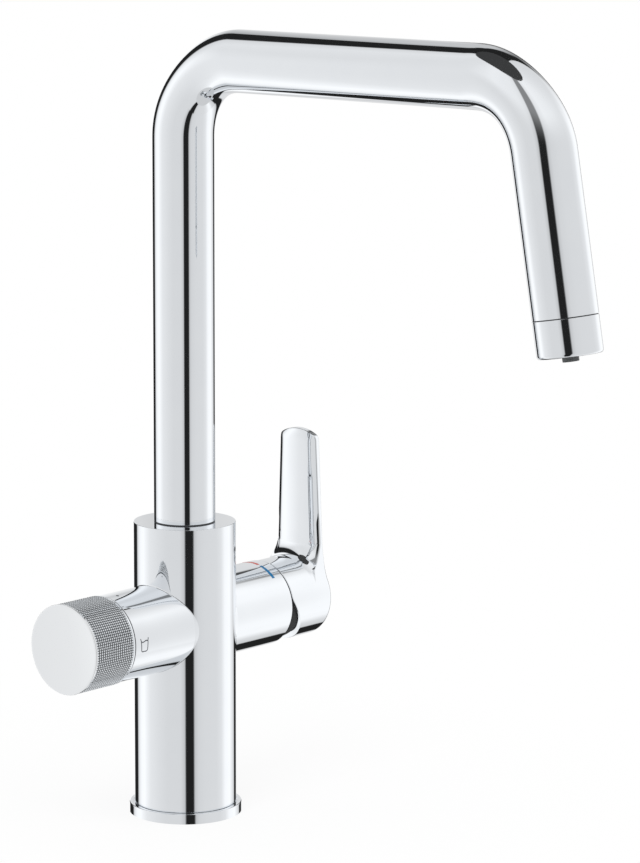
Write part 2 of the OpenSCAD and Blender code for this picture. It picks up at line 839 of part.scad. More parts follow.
// A plastic plate and rim in the knob, with a hub that grips the spindle's flat
module knob_adapter() {
    inner_r = knob_r - knob_wall;
    plate_x = spindle_end - 5;
    hub_end = spindle_end + 1.5;
    pale_plastic() on_filter() difference() {
        union() {
            bar(inner_r, plate_x, plate_x + adapter_t);
            ring(inner_r, inner_r - adapter_rim, plate_x, knob_end - knob_cap_t);
            bar(adapter_hub_r, spindle_end - 8, hub_end);
        }
        difference() {
            bar(spindle_r + 0.02, spindle_end - 9, spindle_end);
            translate([spindle_r - 1 + 0.02, -spindle_r, spindle_end - 7]) cube([2, 2 * spindle_r, 8]);
        }
        bar(screw_core_r + 0.2, spindle_end - past, hub_end + past);
    }
}

module knob_screw() {
    steel() on_filter() difference() {
        union() {
            bar(screw_core_r, spindle_end - 7, spindle_end + 1.5);
            bar(screw_core_r + 1.7, spindle_end + 1.5, spindle_end + 3.5);
        }
        translate([0, 0, spindle_end + 2]) cylinder(d = 2.9, h = 3, $fn = 6);
    }
}

// The knurled band lies between two smooth lands
module knob_sleeve() {
    band_from = knob_start + knurl_land_in;
    band_to = knob_end - knurl_land_out;
    chrome() on_filter() difference() {
        union() {
            bevelled(knob_r, band_to, knob_end, edge_bevel);
            bar(knob_r, knob_start, band_from);
            translate([0, 0, band_from]) linear_extrude(height = band_to - band_from) knurl_ring();
        }
        bar(knob_r - knob_wall, knob_start - past, knob_end + past);
    }
}

// Section of the knurl: teeth along the knob
module knurl_ring() {
    step = 180 / knurl_count;
    polygon([
        for (i = [0 : 2 * knurl_count - 1])
            (crest_r - knurl_depth * (i % 2)) * [cos(i * step), sin(i * step)]
    ]);
}

module knob_cap() {
    chrome() on_filter() bar(knob_r - knob_wall, knob_end - knob_cap_t, knob_end - 0.15);
}

// The spout's axis: riser, bend, upper tube, bend and the leaning outlet tube. The bends are a
// hair fuller than the straight lengths, which run into them, so that all is one solid.
module along_spout(r, z0, end) {
    bend_z = bar_z - bend_r;
    bar(r, z0, bend_z + lap);
    translate([0, -bend_r, bend_z]) rotate([90, 0, 90]) bend(r, 90);
    translate([0, -bend_r, bar_z]) rotate([90, 0, 0]) bar(r, -lap, reach - bend_r - corner_len + lap);
    translate([0, corner_len - reach, bend_z]) rotate([90, 0, -90]) rotate([0, 0, lean]) bend(r, bend_turn);
    on_drop() bar(r, corner_len - lap, end);
}

module bend(r, turn) {
    rotate_extrude(angle = turn, $fn = 120) translate([bend_r, 0]) circle(r = r + seam);
}

// z runs down the outlet tube from the corner where its axis meets the upper tube's
module on_drop() {
    translate([0, -reach, bar_z]) rotate([180 - lean, 0, 0]) children();
}

module spout_tube() {
    chrome() difference() {
        along_spout(tube_r, tube_z, drop_len);
        along_spout(tube_bore_r, tube_z - past, drop_len + past);
    }
}

module foot_ring() {
    chrome() ring(tube_r, journal_r + fit, foot_z, tube_z);
}

module spout_spigot() {
    brass() difference() {
        union() {
            bar(journal_r, spigot_z, tube_z + spigot_grip);
            bar(tube_bore_r, tube_z, tube_z + spigot_grip);
        }
        bar(spigot_bore_r, spigot_z - past, tube_z + spigot_grip + past);
        for (z = seal_heights) ring(tube_r, journal_r - seal_depth, z - 1.4, z + 1.4);
        stop_groove();
    }
}

// The groove that the stop screw runs in; its ends limit the swivel
module stop_groove() {
    margin = 12;
    sweep = 2 * (swivel_max + margin);
    translate([0, 0, stop_z - stop_tip_r - gap]) rotate([0, 0, 90 - sweep / 2])
        rotate_extrude(angle = sweep) translate([journal_r - stop_depth, 0])
            square([stop_depth + past, 2 * (stop_tip_r + gap)]);
}

module spigot_seals() {
    rubber() for (z = seal_heights) ring(neck_r - 0.05, journal_r - seal_depth, z - 1.2, z + 1.2);
}

module filtered_tube() {
    inner = inner_tube_r - inner_tube_wall;
    end = outlet_end - 6;
    pale_plastic() difference() {
        along_spout(inner_tube_r, core_top - inner_socket + 0.5, end);
        along_spout(inner, core_top - inner_socket - past, end + past);
    }
}

module outlet_adapter() {
    brass() on_drop() difference() {
        union() {
            bar(tube_bore_r, drop_len - adapter_h, drop_len);
            bar(tube_bore_r - 0.6, drop_len - past, outlet_top + 5);
        }
        bar(tube_bore_r - 2.4, drop_len - adapter_h - past, outlet_top + 5 + past);
    }
}

module outlet_seal() {
    dark_plastic() on_drop() ring(tube_r - joint_depth, tube_bore_r - 0.6, drop_len, outlet_top);
}

module outlet_sleeve() {
    chrome() on_drop() difference() {
        rotate_extrude() union() {
            translate([0, outlet_top]) square([tube_r, sleeve_len - sleeve_round]);
            translate([0, outlet_top]) square([tube_r - sleeve_round, sleeve_len]);
            translate([tube_r - sleeve_round, outlet_end - sleeve_round]) circle(r = sleeve_round, $fn = 48);
        }
        bar(tube_bore_r - 0.6 + 0.02, outlet_top - past, outlet_top + 6);
        bar(aerator_r, outlet_top + 4, outlet_end + past);
    }
}

// A flow straightener: rim, hub and a ring of round passages
module aerator() {
    top = outlet_top + 5;
    bottom = outlet_end - 0.8;
    pale_plastic() on_drop() difference() {
        bar(aerator_r, top, bottom);
        bar(inner_tube_r + fit, top - past, bottom + past);
        for (row = [[6.2, 12], [8.6, 18], [11, 24]])
            for (i = [0 : row[1] - 1])
                rotate([0, 0, i * 360 / row[1]]) translate([row[0], 0, 0])
                    bar(0.75, top - past, bottom + past);
    }
}

module filter_nozzle() {
    end = outlet_end + nozzle_out;
    dark_plastic() on_drop() difference() {
        bar(nozzle_d / 2, outlet_end - 6, end);
        bar(inner_tube_r - inner_tube_wall - 0.6, outlet_end - 6 - past, end + past);
    }
}

base_ring();
base_seal();
body_shell();
inlet_plate();
waterway_core();
core_seals();
glass_mark();
hot_mark();
cold_mark();
stop_screw();
upper_bush();
lower_bush();
cartridge_base();
cartridge_seals();
cartridge_fixed_disc();
cartridge_housing();
cartridge_nut();
cover_cap();
cartridge_carrier();
carrier_pin();
moving_disc();
disc_driver();
cartridge_stem();
lever();
lever_screw();
lever_plug();
headpart_body();
headpart_seal();
headpart_fixed_disc();
headpart_clip();
spindle();
spindle_seal();
headpart_turning_disc();
knob_adapter();
knob_sleeve();
knob_cap();
knob_screw();
spout_tube();
foot_ring();
spout_spigot();
spigot_seals();
filtered_tube();
outlet_adapter();
outlet_seal();
outlet_sleeve();
aerator();
filter_nozzle();
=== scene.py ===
# Deck-mounted kitchen mixer tap with a second, filtered waterway, dressed for a studio picture.
# The section sizes are in millimetres along each piece's own axis; the meshes are in metres.
import math

import bmesh
import bpy
from mathutils import Matrix, Vector
from mathutils.kdtree import KDTree


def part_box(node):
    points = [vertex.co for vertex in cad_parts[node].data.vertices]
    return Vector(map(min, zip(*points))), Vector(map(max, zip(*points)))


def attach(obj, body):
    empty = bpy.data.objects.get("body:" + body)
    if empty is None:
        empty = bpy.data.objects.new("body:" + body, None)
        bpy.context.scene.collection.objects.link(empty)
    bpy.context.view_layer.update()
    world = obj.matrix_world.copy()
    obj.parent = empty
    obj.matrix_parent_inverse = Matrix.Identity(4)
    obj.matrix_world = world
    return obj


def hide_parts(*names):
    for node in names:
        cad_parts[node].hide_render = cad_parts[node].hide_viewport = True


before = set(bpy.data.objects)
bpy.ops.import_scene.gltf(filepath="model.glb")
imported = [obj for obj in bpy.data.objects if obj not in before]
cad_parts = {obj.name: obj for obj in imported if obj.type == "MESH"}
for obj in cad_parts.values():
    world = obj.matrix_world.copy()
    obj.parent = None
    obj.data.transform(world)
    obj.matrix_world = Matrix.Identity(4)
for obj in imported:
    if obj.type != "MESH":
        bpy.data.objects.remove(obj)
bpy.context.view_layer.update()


# Base ring
# A turned brass ring between the worktop and the body, polished and chrome plated.
# It has a small shoulder for the body's foot and a groove underneath for the rubber ring.
MM = 0.001
TURN_STEPS = 192


def put(name, data):
    """Adds an object to the scene."""
    made = bpy.data.objects.new(name, data)
    bpy.context.scene.collection.objects.link(made)
    return made


def pick(*pieces):
    """Selects some pieces and makes the last one active."""
    bpy.ops.object.select_all(action="DESELECT")
    for piece in pieces:
        piece.select_set(True)
    bpy.context.view_layer.objects.active = pieces[-1]


def shade(piece, degrees=35):
    """Smooths the faces of one piece up to a crease angle."""
    pick(piece)
    bpy.ops.object.shade_smooth_by_angle(angle=math.radians(degrees))


def rounded(*corners, steps=6, holding=0.12):
    """Section points from (r, z, rounding) corners, with a holding point beside each arc."""
    points = []
    for i, (r, z, *arc) in enumerate(corners):
        here = Vector((r, z))
        if not arc:
            points.append(here)
            continue
        back = (Vector(corners[i - 1][:2]) - here).normalized()
        on = (Vector(corners[(i + 1) % len(corners)][:2]) - here).normalized()
        half = back.angle(on) / 2
        reach = arc[0] / math.tan(half)
        centre = here + (back + on).normalized() * arc[0] / math.sin(half)
        first, last = here + back * reach, here + on * reach
        start = math.atan2(first.y - centre.y, first.x - centre.x)
        sweep = math.atan2(last.y - centre.y, last.x - centre.x) - start
        sweep = (sweep + math.pi) % (2 * math.pi) - math.pi
        points.append(first + back * holding)
        for k in range(steps + 1):
            turn = start + sweep * k / steps
            points.append(centre + arc[0] * Vector((math.cos(turn), math.sin(turn))))
        points.append(last + on * holding)
    return points


def turned(name, section, lay=Matrix.Identity(4), sweep=360, steps=TURN_STEPS):
    """Spins a closed section of (r, z) points round Z, then lays the piece along its axis."""
    mesh = bpy.data.meshes.new(name)
    corners = [(r * MM, 0, z * MM) for r, z in section]
    mesh.from_pydata(corners, [(i, (i + 1) % len(corners)) for i in range(len(corners))], [])
    piece = put(name, mesh)
    pick(piece)
    bpy.ops.object.mode_set(mode="EDIT")
    bpy.ops.mesh.select_all(action="SELECT")
    if sweep < 360:
        bpy.ops.mesh.edge_face_add()
    bpy.ops.mesh.spin(steps=steps, angle=math.radians(-sweep), center=(0, 0, 0), axis=(0, 0, 1))
    bpy.ops.mesh.select_all(action="SELECT")
    bpy.ops.mesh.remove_doubles(threshold=1e-7)
    bpy.ops.mesh.normals_make_consistent(inside=False)
    bpy.ops.object.mode_set(mode="OBJECT")
    piece.data.transform(lay)
    shade(piece)
    return piece


def linear(hex_colour):
    """An sRGB hex colour as linear red, green and blue."""
    parts = [int(hex_colour[i : i + 2], 16) / 255 for i in (1, 3, 5)]
    return tuple(p / 12.92 if p <= 0.04045 else ((p + 0.055) / 1.055) ** 2.4 for p in parts) + (1,)


def feed(tree, node, inputs):
    """Sets or links the inputs of a node."""
    for socket, value in inputs.items():
        if isinstance(value, bpy.types.NodeSocket):
            tree.links.new(value, node.inputs[socket])
        else:
            node.inputs[socket].default_value = value


def add_node(tree, kind, inputs=None, **settings):
    """Adds a node, sets its options and sets or links its inputs."""
    made = tree.nodes.new(kind)
    for option, value in settings.items():
        setattr(made, option, value)
    feed(tree, made, inputs or {})
    return made


def speckle(tree, size_mm, detail=2.0):
    """Noise in the piece's own place, with grains of one size."""
    place = add_node(tree, "ShaderNodeTexCoord").outputs["Object"]
    inputs = {"Vector": place, "Scale": 1 / (size_mm * MM), "Detail": detail}
    return add_node(tree, "ShaderNodeTexNoise", inputs).outputs["Fac"]


def blend(tree, share, start, end):
    """A colour that goes from one to the other."""
    inputs = {"Factor": share, 6: start, 7: end}
    return add_node(tree, "ShaderNodeMix", inputs, data_type="RGBA").outputs[2]


def remap(tree, value, low, high, to_low, to_high, kind="LINEAR"):
    """A value taken from one range to another."""
    inputs = {
        "Value": value, "From Min": low, "From Max": high, "To Min": to_low, "To Max": to_high
    }
    return add_node(tree, "ShaderNodeMapRange", inputs, interpolation_type=kind).outputs[0]


def bump(tree, height, strength, depth_mm):
    """A surface relief from a height."""
    inputs = {"Height": height, "Strength": strength, "Distance": depth_mm * MM}
    return add_node(tree, "ShaderNodeBump", inputs).outputs["Normal"]


def new_material(name):
    """An empty material with its shader and its output."""
    material = bpy.data.materials.new(name)
    material.use_nodes = True
    tree = material.node_tree
    tree.nodes.clear()
    shader = add_node(tree, "ShaderNodeBsdfPrincipled")
    add_node(tree, "ShaderNodeOutputMaterial", {"Surface": shader.outputs["BSDF"]})
    return material, tree, shader


def wear(piece, material, body=None, stands_for=()):
    """Gives a piece its material, and a new piece its body, hiding the CAD nodes it stands for."""
    piece.data.materials.clear()
    piece.data.materials.append(material)
    if body:
        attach(piece, body)
        if stands_for:
            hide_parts(*stands_for)


# Bright chromium plate on polished brass: a neutral, faintly cool mirror. The polishing mops
# leave a haze that comes and goes over a centimetre or two, and the drawn or cast brass under
# the plate is never quite flat, which bends long reflections by a hair.
chrome, tree, shader = new_material("bright_chrome_plate")
MOP_MARKS_MM = 14
DRAWN_WAVE_MM = 30
haze = speckle(tree, MOP_MARKS_MM, detail=3.0)
wave = speckle(tree, DRAWN_WAVE_MM, detail=0.0)
polished = {
    "Base Color": blend(tree, haze, linear("#eff2f5"), linear("#ebeef2")),
    "Metallic": 1.0,
    "Roughness": remap(tree, haze, 0.35, 0.7, 0.025, 0.055),
    "Normal": bump(tree, wave, 0.25, 0.04),
}
feed(tree, shader, polished)

base_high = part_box("base_ring")[1]
BASE_R = base_high.x / MM
BASE_H = base_high.z / MM
OPENING_R = 17.5
LIP_H = 2
# The rubber ring's groove, and the body that stands on the ring.
SEAL_FROM, SEAL_TO, SEAL_T = 24.65, 27.25, 1.4
BODY_R = 25
BORE_R = 21.5
SHADOW_GROOVE = 0.5
base_ring = turned(
    "base_ring_turned",
    rounded(
        (OPENING_R, 0),
        (SEAL_FROM, 0),
        (SEAL_FROM, SEAL_T),
        (SEAL_TO, SEAL_T),
        (SEAL_TO, 0),
        (BASE_R, 0),
        (BASE_R, BASE_H, 0.45),
        (BODY_R + SHADOW_GROOVE, BASE_H, 0.15),
        (BODY_R + SHADOW_GROOVE, BASE_H - SHADOW_GROOVE),
        (BODY_R, BASE_H - SHADOW_GROOVE),
        (BODY_R, BASE_H),
        (BORE_R, BASE_H),
        (BORE_R, LIP_H),
        (OPENING_R, LIP_H),
    ),
)
wear(base_ring, chrome, "body", ["base_ring"])

# Nitrile rubber for the base's ring, the seals inside and the cap's painted shadow ring: dull
# black with a moulded grain.
rubber, tree, shader = new_material("black_nitrile_rubber")
RUBBER_GRAIN_MM = 0.4
grain = speckle(tree, RUBBER_GRAIN_MM)
moulded = {
    "Base Color": blend(tree, grain, linear("#1d1d1e"), linear("#2a2a2b")),
    "Normal": bump(tree, grain, 0.4, 0.05),
    "Roughness": 0.75,
    "IOR": 1.52,
}
feed(tree, shader, moulded)
SEAL_NODES = (
    "base_seal", "core_seals", "cartridge_seals", "headpart_seal", "spindle_seal", "spigot_seals",
)
for name in SEAL_NODES:
    wear(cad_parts[name], rubber)


# Body column
# The tap's upright body, a brass casting turned and polished to a round column, chrome plated.
# Its top face is flat and carries the spout; its bore holds the waterways.
BODY_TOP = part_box("body_shell")[1].z / MM
NECK_R = 14.2
NECK_BOTTOM = 112
column = turned(
    "body_column",
    rounded(
        (BORE_R, BASE_H),
        (BODY_R, BASE_H, 0.12),
        (BODY_R, BODY_TOP, 0.3),
        (NECK_R, BODY_TOP, 0.15),
        (NECK_R, NECK_BOTTOM),
        (BORE_R, NECK_BOTTOM),
    ),
)


# Branches
# Two round sockets cast in one with the column, one for the mixer cartridge on the right and
# one for the filter valve on the left. A small cast radius rounds the corner to the column.
BRANCH_Z = 95.15
CAST_RADIUS = 0.7
CAST_SHARES = (1, 0.84, 0.67, 0.5, 0.33, 0.16, 0)
BRANCH_FROM = BORE_R - 6
# A bore's floor is drawn in to this share of its radius.
PINHOLE = 0.02
ROUND_STEPS = 192


def skinned(name, loops, crease=35):
    """Joins loops with the same number of points by faces, and merges what coincides."""
    mesh = bpy.data.meshes.new(name)
    made = bmesh.new()
    rows = [[made.verts.new(point) for point in loop] for loop in loops]
    for low, high in zip(rows, rows[1:]):
        for i in range(len(low)):
            j = (i + 1) % len(low)
            made.faces.new((low[i], low[j], high[j], high[i]))
    bmesh.ops.remove_doubles(made, verts=made.verts[:], dist=2e-7)
    bmesh.ops.recalc_face_normals(made, faces=made.faces[:])
    made.to_mesh(mesh)
    made.free()
    piece = put(name, mesh)
    shade(piece, crease)
    return piece


def branch(name, side, radius, length, mouth_r, mouth_depth, bore_r, floor):
    """A socket along X: from the column's wall over the cast radius to its mouth and its bore."""
    loops = []

    def ring(r, x):
        """One circle round the socket's axis."""
        turns = [2 * math.pi * i / ROUND_STEPS for i in range(ROUND_STEPS)]
        loop = [Vector((side * x, r * math.sin(t), BRANCH_Z + r * math.cos(t))) for t in turns]
        loops.append([spot * MM for spot in loop])

    def corner(share):
        """One line of the cast radius, from the column at 0 to the socket at 1."""
        loop = []
        for i in range(ROUND_STEPS):
            t = 2 * math.pi * i / ROUND_STEPS
            away = Vector((0, math.sin(t), math.cos(t)))
            middle = away * (radius + CAST_RADIUS)
            middle.x = math.sqrt((BODY_R + CAST_RADIUS) ** 2 - middle.y**2)
            to_column = -Vector((middle.x, middle.y, 0)).normalized()
            to_socket = -away
            angle = to_column.angle(to_socket)
            away_from_middle = (
                to_column * math.sin((1 - share) * angle) + to_socket * math.sin(share * angle)
            ) / math.sin(angle)
            point = middle + away_from_middle * CAST_RADIUS
            loop.append(Vector((side * point.x, point.y, BRANCH_Z + point.z)) * MM)
        return loop

    ring(bore_r * PINHOLE, floor)
    ring(bore_r, floor)
    ring(bore_r, length - mouth_depth)
    ring(mouth_r, length - mouth_depth)
    mouth = (
        (mouth_r, length - 2),
        (mouth_r, length, 0.15),
        (radius, length, 0.2),
        (radius, length - 2),
    )
    for r, x in rounded(*mouth):
        ring(r, x)
    ring(radius, length - 12)
    for share in CAST_SHARES:
        loops.append(corner(share))
    ring(radius, BRANCH_FROM)
    ring(bore_r * PINHOLE, BRANCH_FROM)
    return skinned(name, loops)


MIXER_R = 21.2
MIXER_LEN = 55.6
FILTER_R = 21.3
FILTER_LEN = 56.9
mixer_branch = branch(
    "mixer_branch", 1, MIXER_R, MIXER_LEN, mouth_r=18.9, mouth_depth=4.1, bore_r=17.5, floor=31.5
)
filter_branch = branch(
    "filter_branch", -1, FILTER_R, FILTER_LEN, mouth_r=17.5, mouth_depth=10, bore_r=10, floor=31
)
pick(mixer_branch, filter_branch, column)
bpy.ops.object.join()
wear(column, chrome, "body", ["body_shell"])


# Temperature marks
# Two short arcs on the mixer branch, filled with hard enamel, one red and one blue.
# The enamel stands a hair proud of the chrome.
MARK_X = MIXER_LEN - 6.6
MARK_W = 1.8
MARK_DEEP = 0.25
MARK_PROUD = 0.04
MARK_SWEEP = 27.5
POOLS_MM = 10 / 9
ALONG_MIXER = Matrix.Translation((0, 0, BRANCH_Z * MM)) @ Matrix.Rotation(math.radians(90), 4, "Y")


def enamel(name, hex_deep, hex_light):
    """Stoved enamel: a saturated gloss colour, slightly lighter where it pooled thin."""
    material, tree, shader = new_material(name)
    colour = blend(tree, speckle(tree, POOLS_MM), linear(hex_deep), linear(hex_light))
    feed(tree, shader, {"Base Color": colour, "Roughness": 0.28, "IOR": 1.4})
    return material


def mark(name, start, material, node):
    """A strip of enamel round the branch, from an angle in front of the top."""
    section = rounded(
        (MIXER_R - MARK_DEEP, MARK_X - MARK_W / 2),
        (MIXER_R + MARK_PROUD, MARK_X - MARK_W / 2, 0.03),
        (MIXER_R + MARK_PROUD, MARK_X + MARK_W / 2, 0.03),
        (MIXER_R - MARK_DEEP, MARK_X + MARK_W / 2),
        holding=0.01,
        steps=3,
    )
    lay = ALONG_MIXER @ Matrix.Rotation(math.radians(180 + start), 4, "Z")
    piece = turned(name, section, lay, sweep=MARK_SWEEP, steps=28)
    wear(piece, material, "body", [node])


mark("hot_arc", -15.5, enamel("red_enamel", "#c8301a", "#d03c24"), "hot_mark")
mark("cold_arc", 16, enamel("blue_enamel", "#006496", "#0070a4"), "cold_mark")


# Tumbler sign
# A small outline of a glass with a water line, laser-marked dark grey on the filter branch.
# It is drawn flat as a thin line and wrapped round the branch.
SIGN_X = -50.9
SIGN_W = 6.2
SIGN_H = 7.4
SIGN_LINE = 0.45
SIGN_SUNK = 0.34
SIGN_STEP = 0.4


def pen_line(name, points):
    """A round pen stroke through (across, up) points, wrapped on the front of the filter branch."""
    curve = bpy.data.curves.new(name, "CURVE")
    curve.dimensions = "3D"
    curve.bevel_depth = SIGN_LINE * MM
    curve.bevel_resolution = 2
    curve.use_fill_caps = True
    fine = [points[0]]
    for start, end in zip(points, points[1:]):
        pieces = max(1, round(math.dist(start, end) / SIGN_STEP))
        for k in range(1, pieces + 1):
            share = k / pieces
            fine.append([a + (b - a) * share for a, b in zip(start, end)])
    stroke = curve.splines.new("POLY")
    stroke.points.add(len(fine) - 1)
    for spot, (across, up) in zip(stroke.points, fine):
        spot.co = (across * MM, up * MM, 0, 1)
    pick(put(name, curve))
    bpy.ops.object.convert(target="MESH")
    piece = bpy.context.object
    for vertex in piece.data.vertices:
        across, up, out = vertex.co
        turn = up / (FILTER_R * MM)
        r = (FILTER_R - SIGN_SUNK) * MM + out
        vertex.co = (SIGN_X * MM + across, -r * math.cos(turn), BRANCH_Z * MM + r * math.sin(turn))
    return piece


GLASS_RIM = SIGN_W / 2 - SIGN_LINE
GLASS_FOOT = SIGN_W * 0.33
GLASS_HALF_H = SIGN_H / 2 - SIGN_LINE
GLASS_CORNER_R = 0.9
WATER_AT = GLASS_HALF_H * 0.52
WATER_WAVE = 0.28
base_corner = [
    (
        GLASS_FOOT - GLASS_CORNER_R + GLASS_CORNER_R * math.sin(a),
        -GLASS_HALF_H + GLASS_CORNER_R - GLASS_CORNER_R * math.cos(a),
    )
    for a in [math.radians(15 * k) for k in range(6)]
]
flared_rim = [(GLASS_RIM - 0.35, GLASS_HALF_H * 0.62), (GLASS_RIM, GLASS_HALF_H)]
right = [(0, -GLASS_HALF_H)] + base_corner + flared_rim
outline = [(-x, y) for x, y in reversed(right[1:])] + right
water = [
    (x * (GLASS_RIM - 0.45), WATER_AT + WATER_WAVE * math.sin(x * math.pi))
    for x in [k / 10 for k in range(-10, 11)]
]
sign = pen_line("tumbler_outline", outline)
wave_line = pen_line("tumbler_water", water)
pick(wave_line, sign)
bpy.ops.object.join()
shade(sign, 60)

# Laser marking on chrome: a matt, dark grey oxide with a fine grain.
marking, tree, shader = new_material("laser_marked_oxide")
LASER_GRAIN_MM = 0.2
burnt = blend(tree, speckle(tree, LASER_GRAIN_MM), linear("#3b3d42"), linear("#55585e"))
feed(tree, shader, {"Base Color": burnt, "Roughness": 0.5})
wear(sign, marking, "body", ["glass_mark"])

# A dot lasered on top of the branch, a few degrees to the front, shows where the knob is read.
DOT_X = -50.4
DOT_TURN = 8
DOT_R = 0.8
DOT_DEEP = 0.2
DOT_PROUD = 0.04
index_dot = turned(
    "index_dot",
    [
        (0, -DOT_DEEP),
        (DOT_R, -DOT_DEEP),
        (DOT_R, 0.01),
        (DOT_R - 0.1, DOT_PROUD - 0.01),
        (0, DOT_PROUD),
    ],
    Matrix.Translation((DOT_X * MM, 0, BRANCH_Z * MM))
    @ Matrix.Rotation(math.radians(DOT_TURN), 4, "X")
    @ Matrix.Translation((0, 0, FILTER_R * MM)),
    steps=32,
)
wear(index_dot, marking, "body")


# Foot ring and bearing flange
# A thin chromed ring closes the spout's foot. Under it shows the edge of the dark bearing bush.
foot_low, foot_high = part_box("foot_ring")
FOOT_RING_R = 15
FOOT_RING_BORE_R = 12.6
ring_top = foot_high.z / MM - 0.02
foot_ring = turned(
    "foot_ring_turned",
    rounded(
        (FOOT_RING_BORE_R, foot_low.z / MM),
        (FOOT_RING_R, foot_low.z / MM, 0.2),
        (FOOT_RING_R, ring_top),
        (FOOT_RING_BORE_R, ring_top),
    ),
)
wear(foot_ring, chrome, "spout", ["foot_ring"])

# Glass-filled polyacetal for bushes and waterways: near black, with a fine moulded grain.
dark_acetal, tree, shader = new_material("dark_polyacetal")
MOULD_GRAIN_MM = 0.25
DARK_FLOW_MM = 25 / 3
ACETAL_IOR = 1.48
flow = speckle(tree, DARK_FLOW_MM)
moulded = {
    "Base Color": blend(tree, flow, linear("#2b2c2e"), linear("#37383b")),
    "Normal": bump(tree, speckle(tree, MOULD_GRAIN_MM), 0.3, 0.03),
    "Roughness": 0.42,
    "IOR": ACETAL_IOR,
}
feed(tree, shader, moulded)
for name in ("upper_bush", "lower_bush", "waterway_core", "outlet_seal", "lever_plug"):
    wear(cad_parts[name], dark_acetal)


# Spout tube
# Drawn brass tube bent to a square arch, ground, polished and chrome plated.
# Each bend is slightly flattened, as a mandrel leaves it: the outside is drawn in the most.
TUBE_R = 15
TUBE_WALL = 1.2
BAR_Z = 370.8
REACH = 212.2
LEAN = 10
BEND_R = 38
DROP_LEN = 105.3
CORNER_LEN = BEND_R * math.tan(math.radians(90 - LEAN) / 2)
BEND_STEPS = 32
OUT_DRAWN_IN = 1.6
INSIDE_PUSHED = 0.9
TUBE_SIDES = 128
END_BAND = 0.12
tube_start = foot_high.z
down = Vector((0, -math.sin(math.radians(LEAN)), -math.cos(math.radians(LEAN))))


def draw_on(step):
    """Draws the selected end of the tube on in a straight line."""
    bpy.ops.mesh.extrude_region_move(TRANSFORM_OT_translate={"value": step})


def bend_round(centre, degrees):
    """Draws the selected end of the tube on round a bend."""
    bpy.ops.mesh.spin(
        steps=BEND_STEPS, angle=math.radians(-degrees), center=centre, axis=(1, 0, 0)
    )


def flatten(piece, centre, from_turn, to_turn):
    """Squeezes a bend's section towards its own axis, most at mid-bend, in the YZ plane."""
    for vertex in piece.data.vertices:
        arm = Vector((vertex.co.y - centre[0], vertex.co.z - centre[1]))
        turn = math.degrees(math.atan2(arm.y, arm.x))
        share = (turn - from_turn) / (to_turn - from_turn)
        if not 0.001 < share < 0.999:
            continue
        off = arm.length - BEND_R * MM
        if abs(off) > 1.01 * TUBE_R * MM:
            continue
        squeeze = math.sin(math.pi * share) ** 2
        pull = OUT_DRAWN_IN if off > 0 else INSIDE_PUSHED
        moved = off * (1 - squeeze * pull / TUBE_R)
        new = arm.normalized() * (BEND_R * MM + moved)
        vertex.co.y, vertex.co.z = centre[0] + new.x, centre[1] + new.y


bpy.ops.object.select_all(action="DESELECT")
bpy.ops.mesh.primitive_circle_add(
    vertices=TUBE_SIDES, radius=TUBE_R * MM, location=(0, 0, tube_start), fill_type="NOTHING"
)
spout = bpy.context.object
spout.name = "spout_tube_bent"
bpy.ops.object.transform_apply(location=True, rotation=True, scale=True)
first_bend = Vector((0, -BEND_R, BAR_Z - BEND_R)) * MM
second_bend = Vector((0, CORNER_LEN - REACH, BAR_Z - BEND_R)) * MM
bpy.ops.object.mode_set(mode="EDIT")
bpy.ops.mesh.select_all(action="SELECT")
draw_on((0, 0, first_bend.z - tube_start))
bend_round(first_bend, 90)
draw_on((0, second_bend.y - first_bend.y, 0))
bend_round(second_bend, 90 - LEAN)
draw_on(down * (DROP_LEN - CORNER_LEN - END_BAND) * MM)
draw_on(down * END_BAND * MM)
bpy.ops.mesh.select_all(action="SELECT")
bpy.ops.mesh.normals_make_consistent(inside=False)
bpy.ops.object.mode_set(mode="OBJECT")
flatten(spout, (first_bend.y, first_bend.z), 0, 90)
flatten(spout, (second_bend.y, second_bend.z), 90, 180 - LEAN)
wall = spout.modifiers.new("tube_wall", "SOLIDIFY")
wall.thickness = TUBE_WALL * MM
wall.offset = -1
pick(spout)
bpy.ops.object.modifier_apply(modifier="tube_wall")
shade(spout)
wear(spout, chrome, "spout", ["spout_tube"])


# Outlet
# A chromed sleeve screwed on the tube's end holds the flow straightener, and the small nozzle
# for filtered water stands out of its middle.
DOWN_SPOUT = Matrix.Translation((0, -REACH * MM, BAR_Z * MM)) @ Matrix.Rotation(
    math.radians(180 - LEAN), 4, "X"
)
SLEEVE_TOP = DROP_LEN + 0.5
SLEEVE_END = SLEEVE_TOP + 17
SLEEVE_SOCKET_R = 13.3
SLEEVE_BORE_R = 12.6
SOCKET_DEEP = 4
sleeve = turned(
    "outlet_sleeve_turned",
    rounded(
        (SLEEVE_SOCKET_R, SLEEVE_TOP),
        (TUBE_R, SLEEVE_TOP, 0.12),
        (TUBE_R, SLEEVE_END, 1.5),
        (SLEEVE_BORE_R, SLEEVE_END, 0.4),
        (SLEEVE_BORE_R, SLEEVE_TOP + SOCKET_DEEP),
        (SLEEVE_SOCKET_R, SLEEVE_TOP + SOCKET_DEEP),
    ),
    DOWN_SPOUT,
)
wear(sleeve, chrome, "spout", ["outlet_sleeve"])

NOZZLE_R = 3.8
NOZZLE_BORE_R = 2.4
NOZZLE_FROM = SLEEVE_END - 6
NOZZLE_END = SLEEVE_END + 2.5
nozzle = turned(
    "filter_nozzle_turned",
    rounded(
        (NOZZLE_BORE_R, NOZZLE_FROM),
        (NOZZLE_R, NOZZLE_FROM),
        (NOZZLE_R, NOZZLE_END, 0.3),
        (NOZZLE_BORE_R, NOZZLE_END, 0.2),
    ),
    DOWN_SPOUT,
)

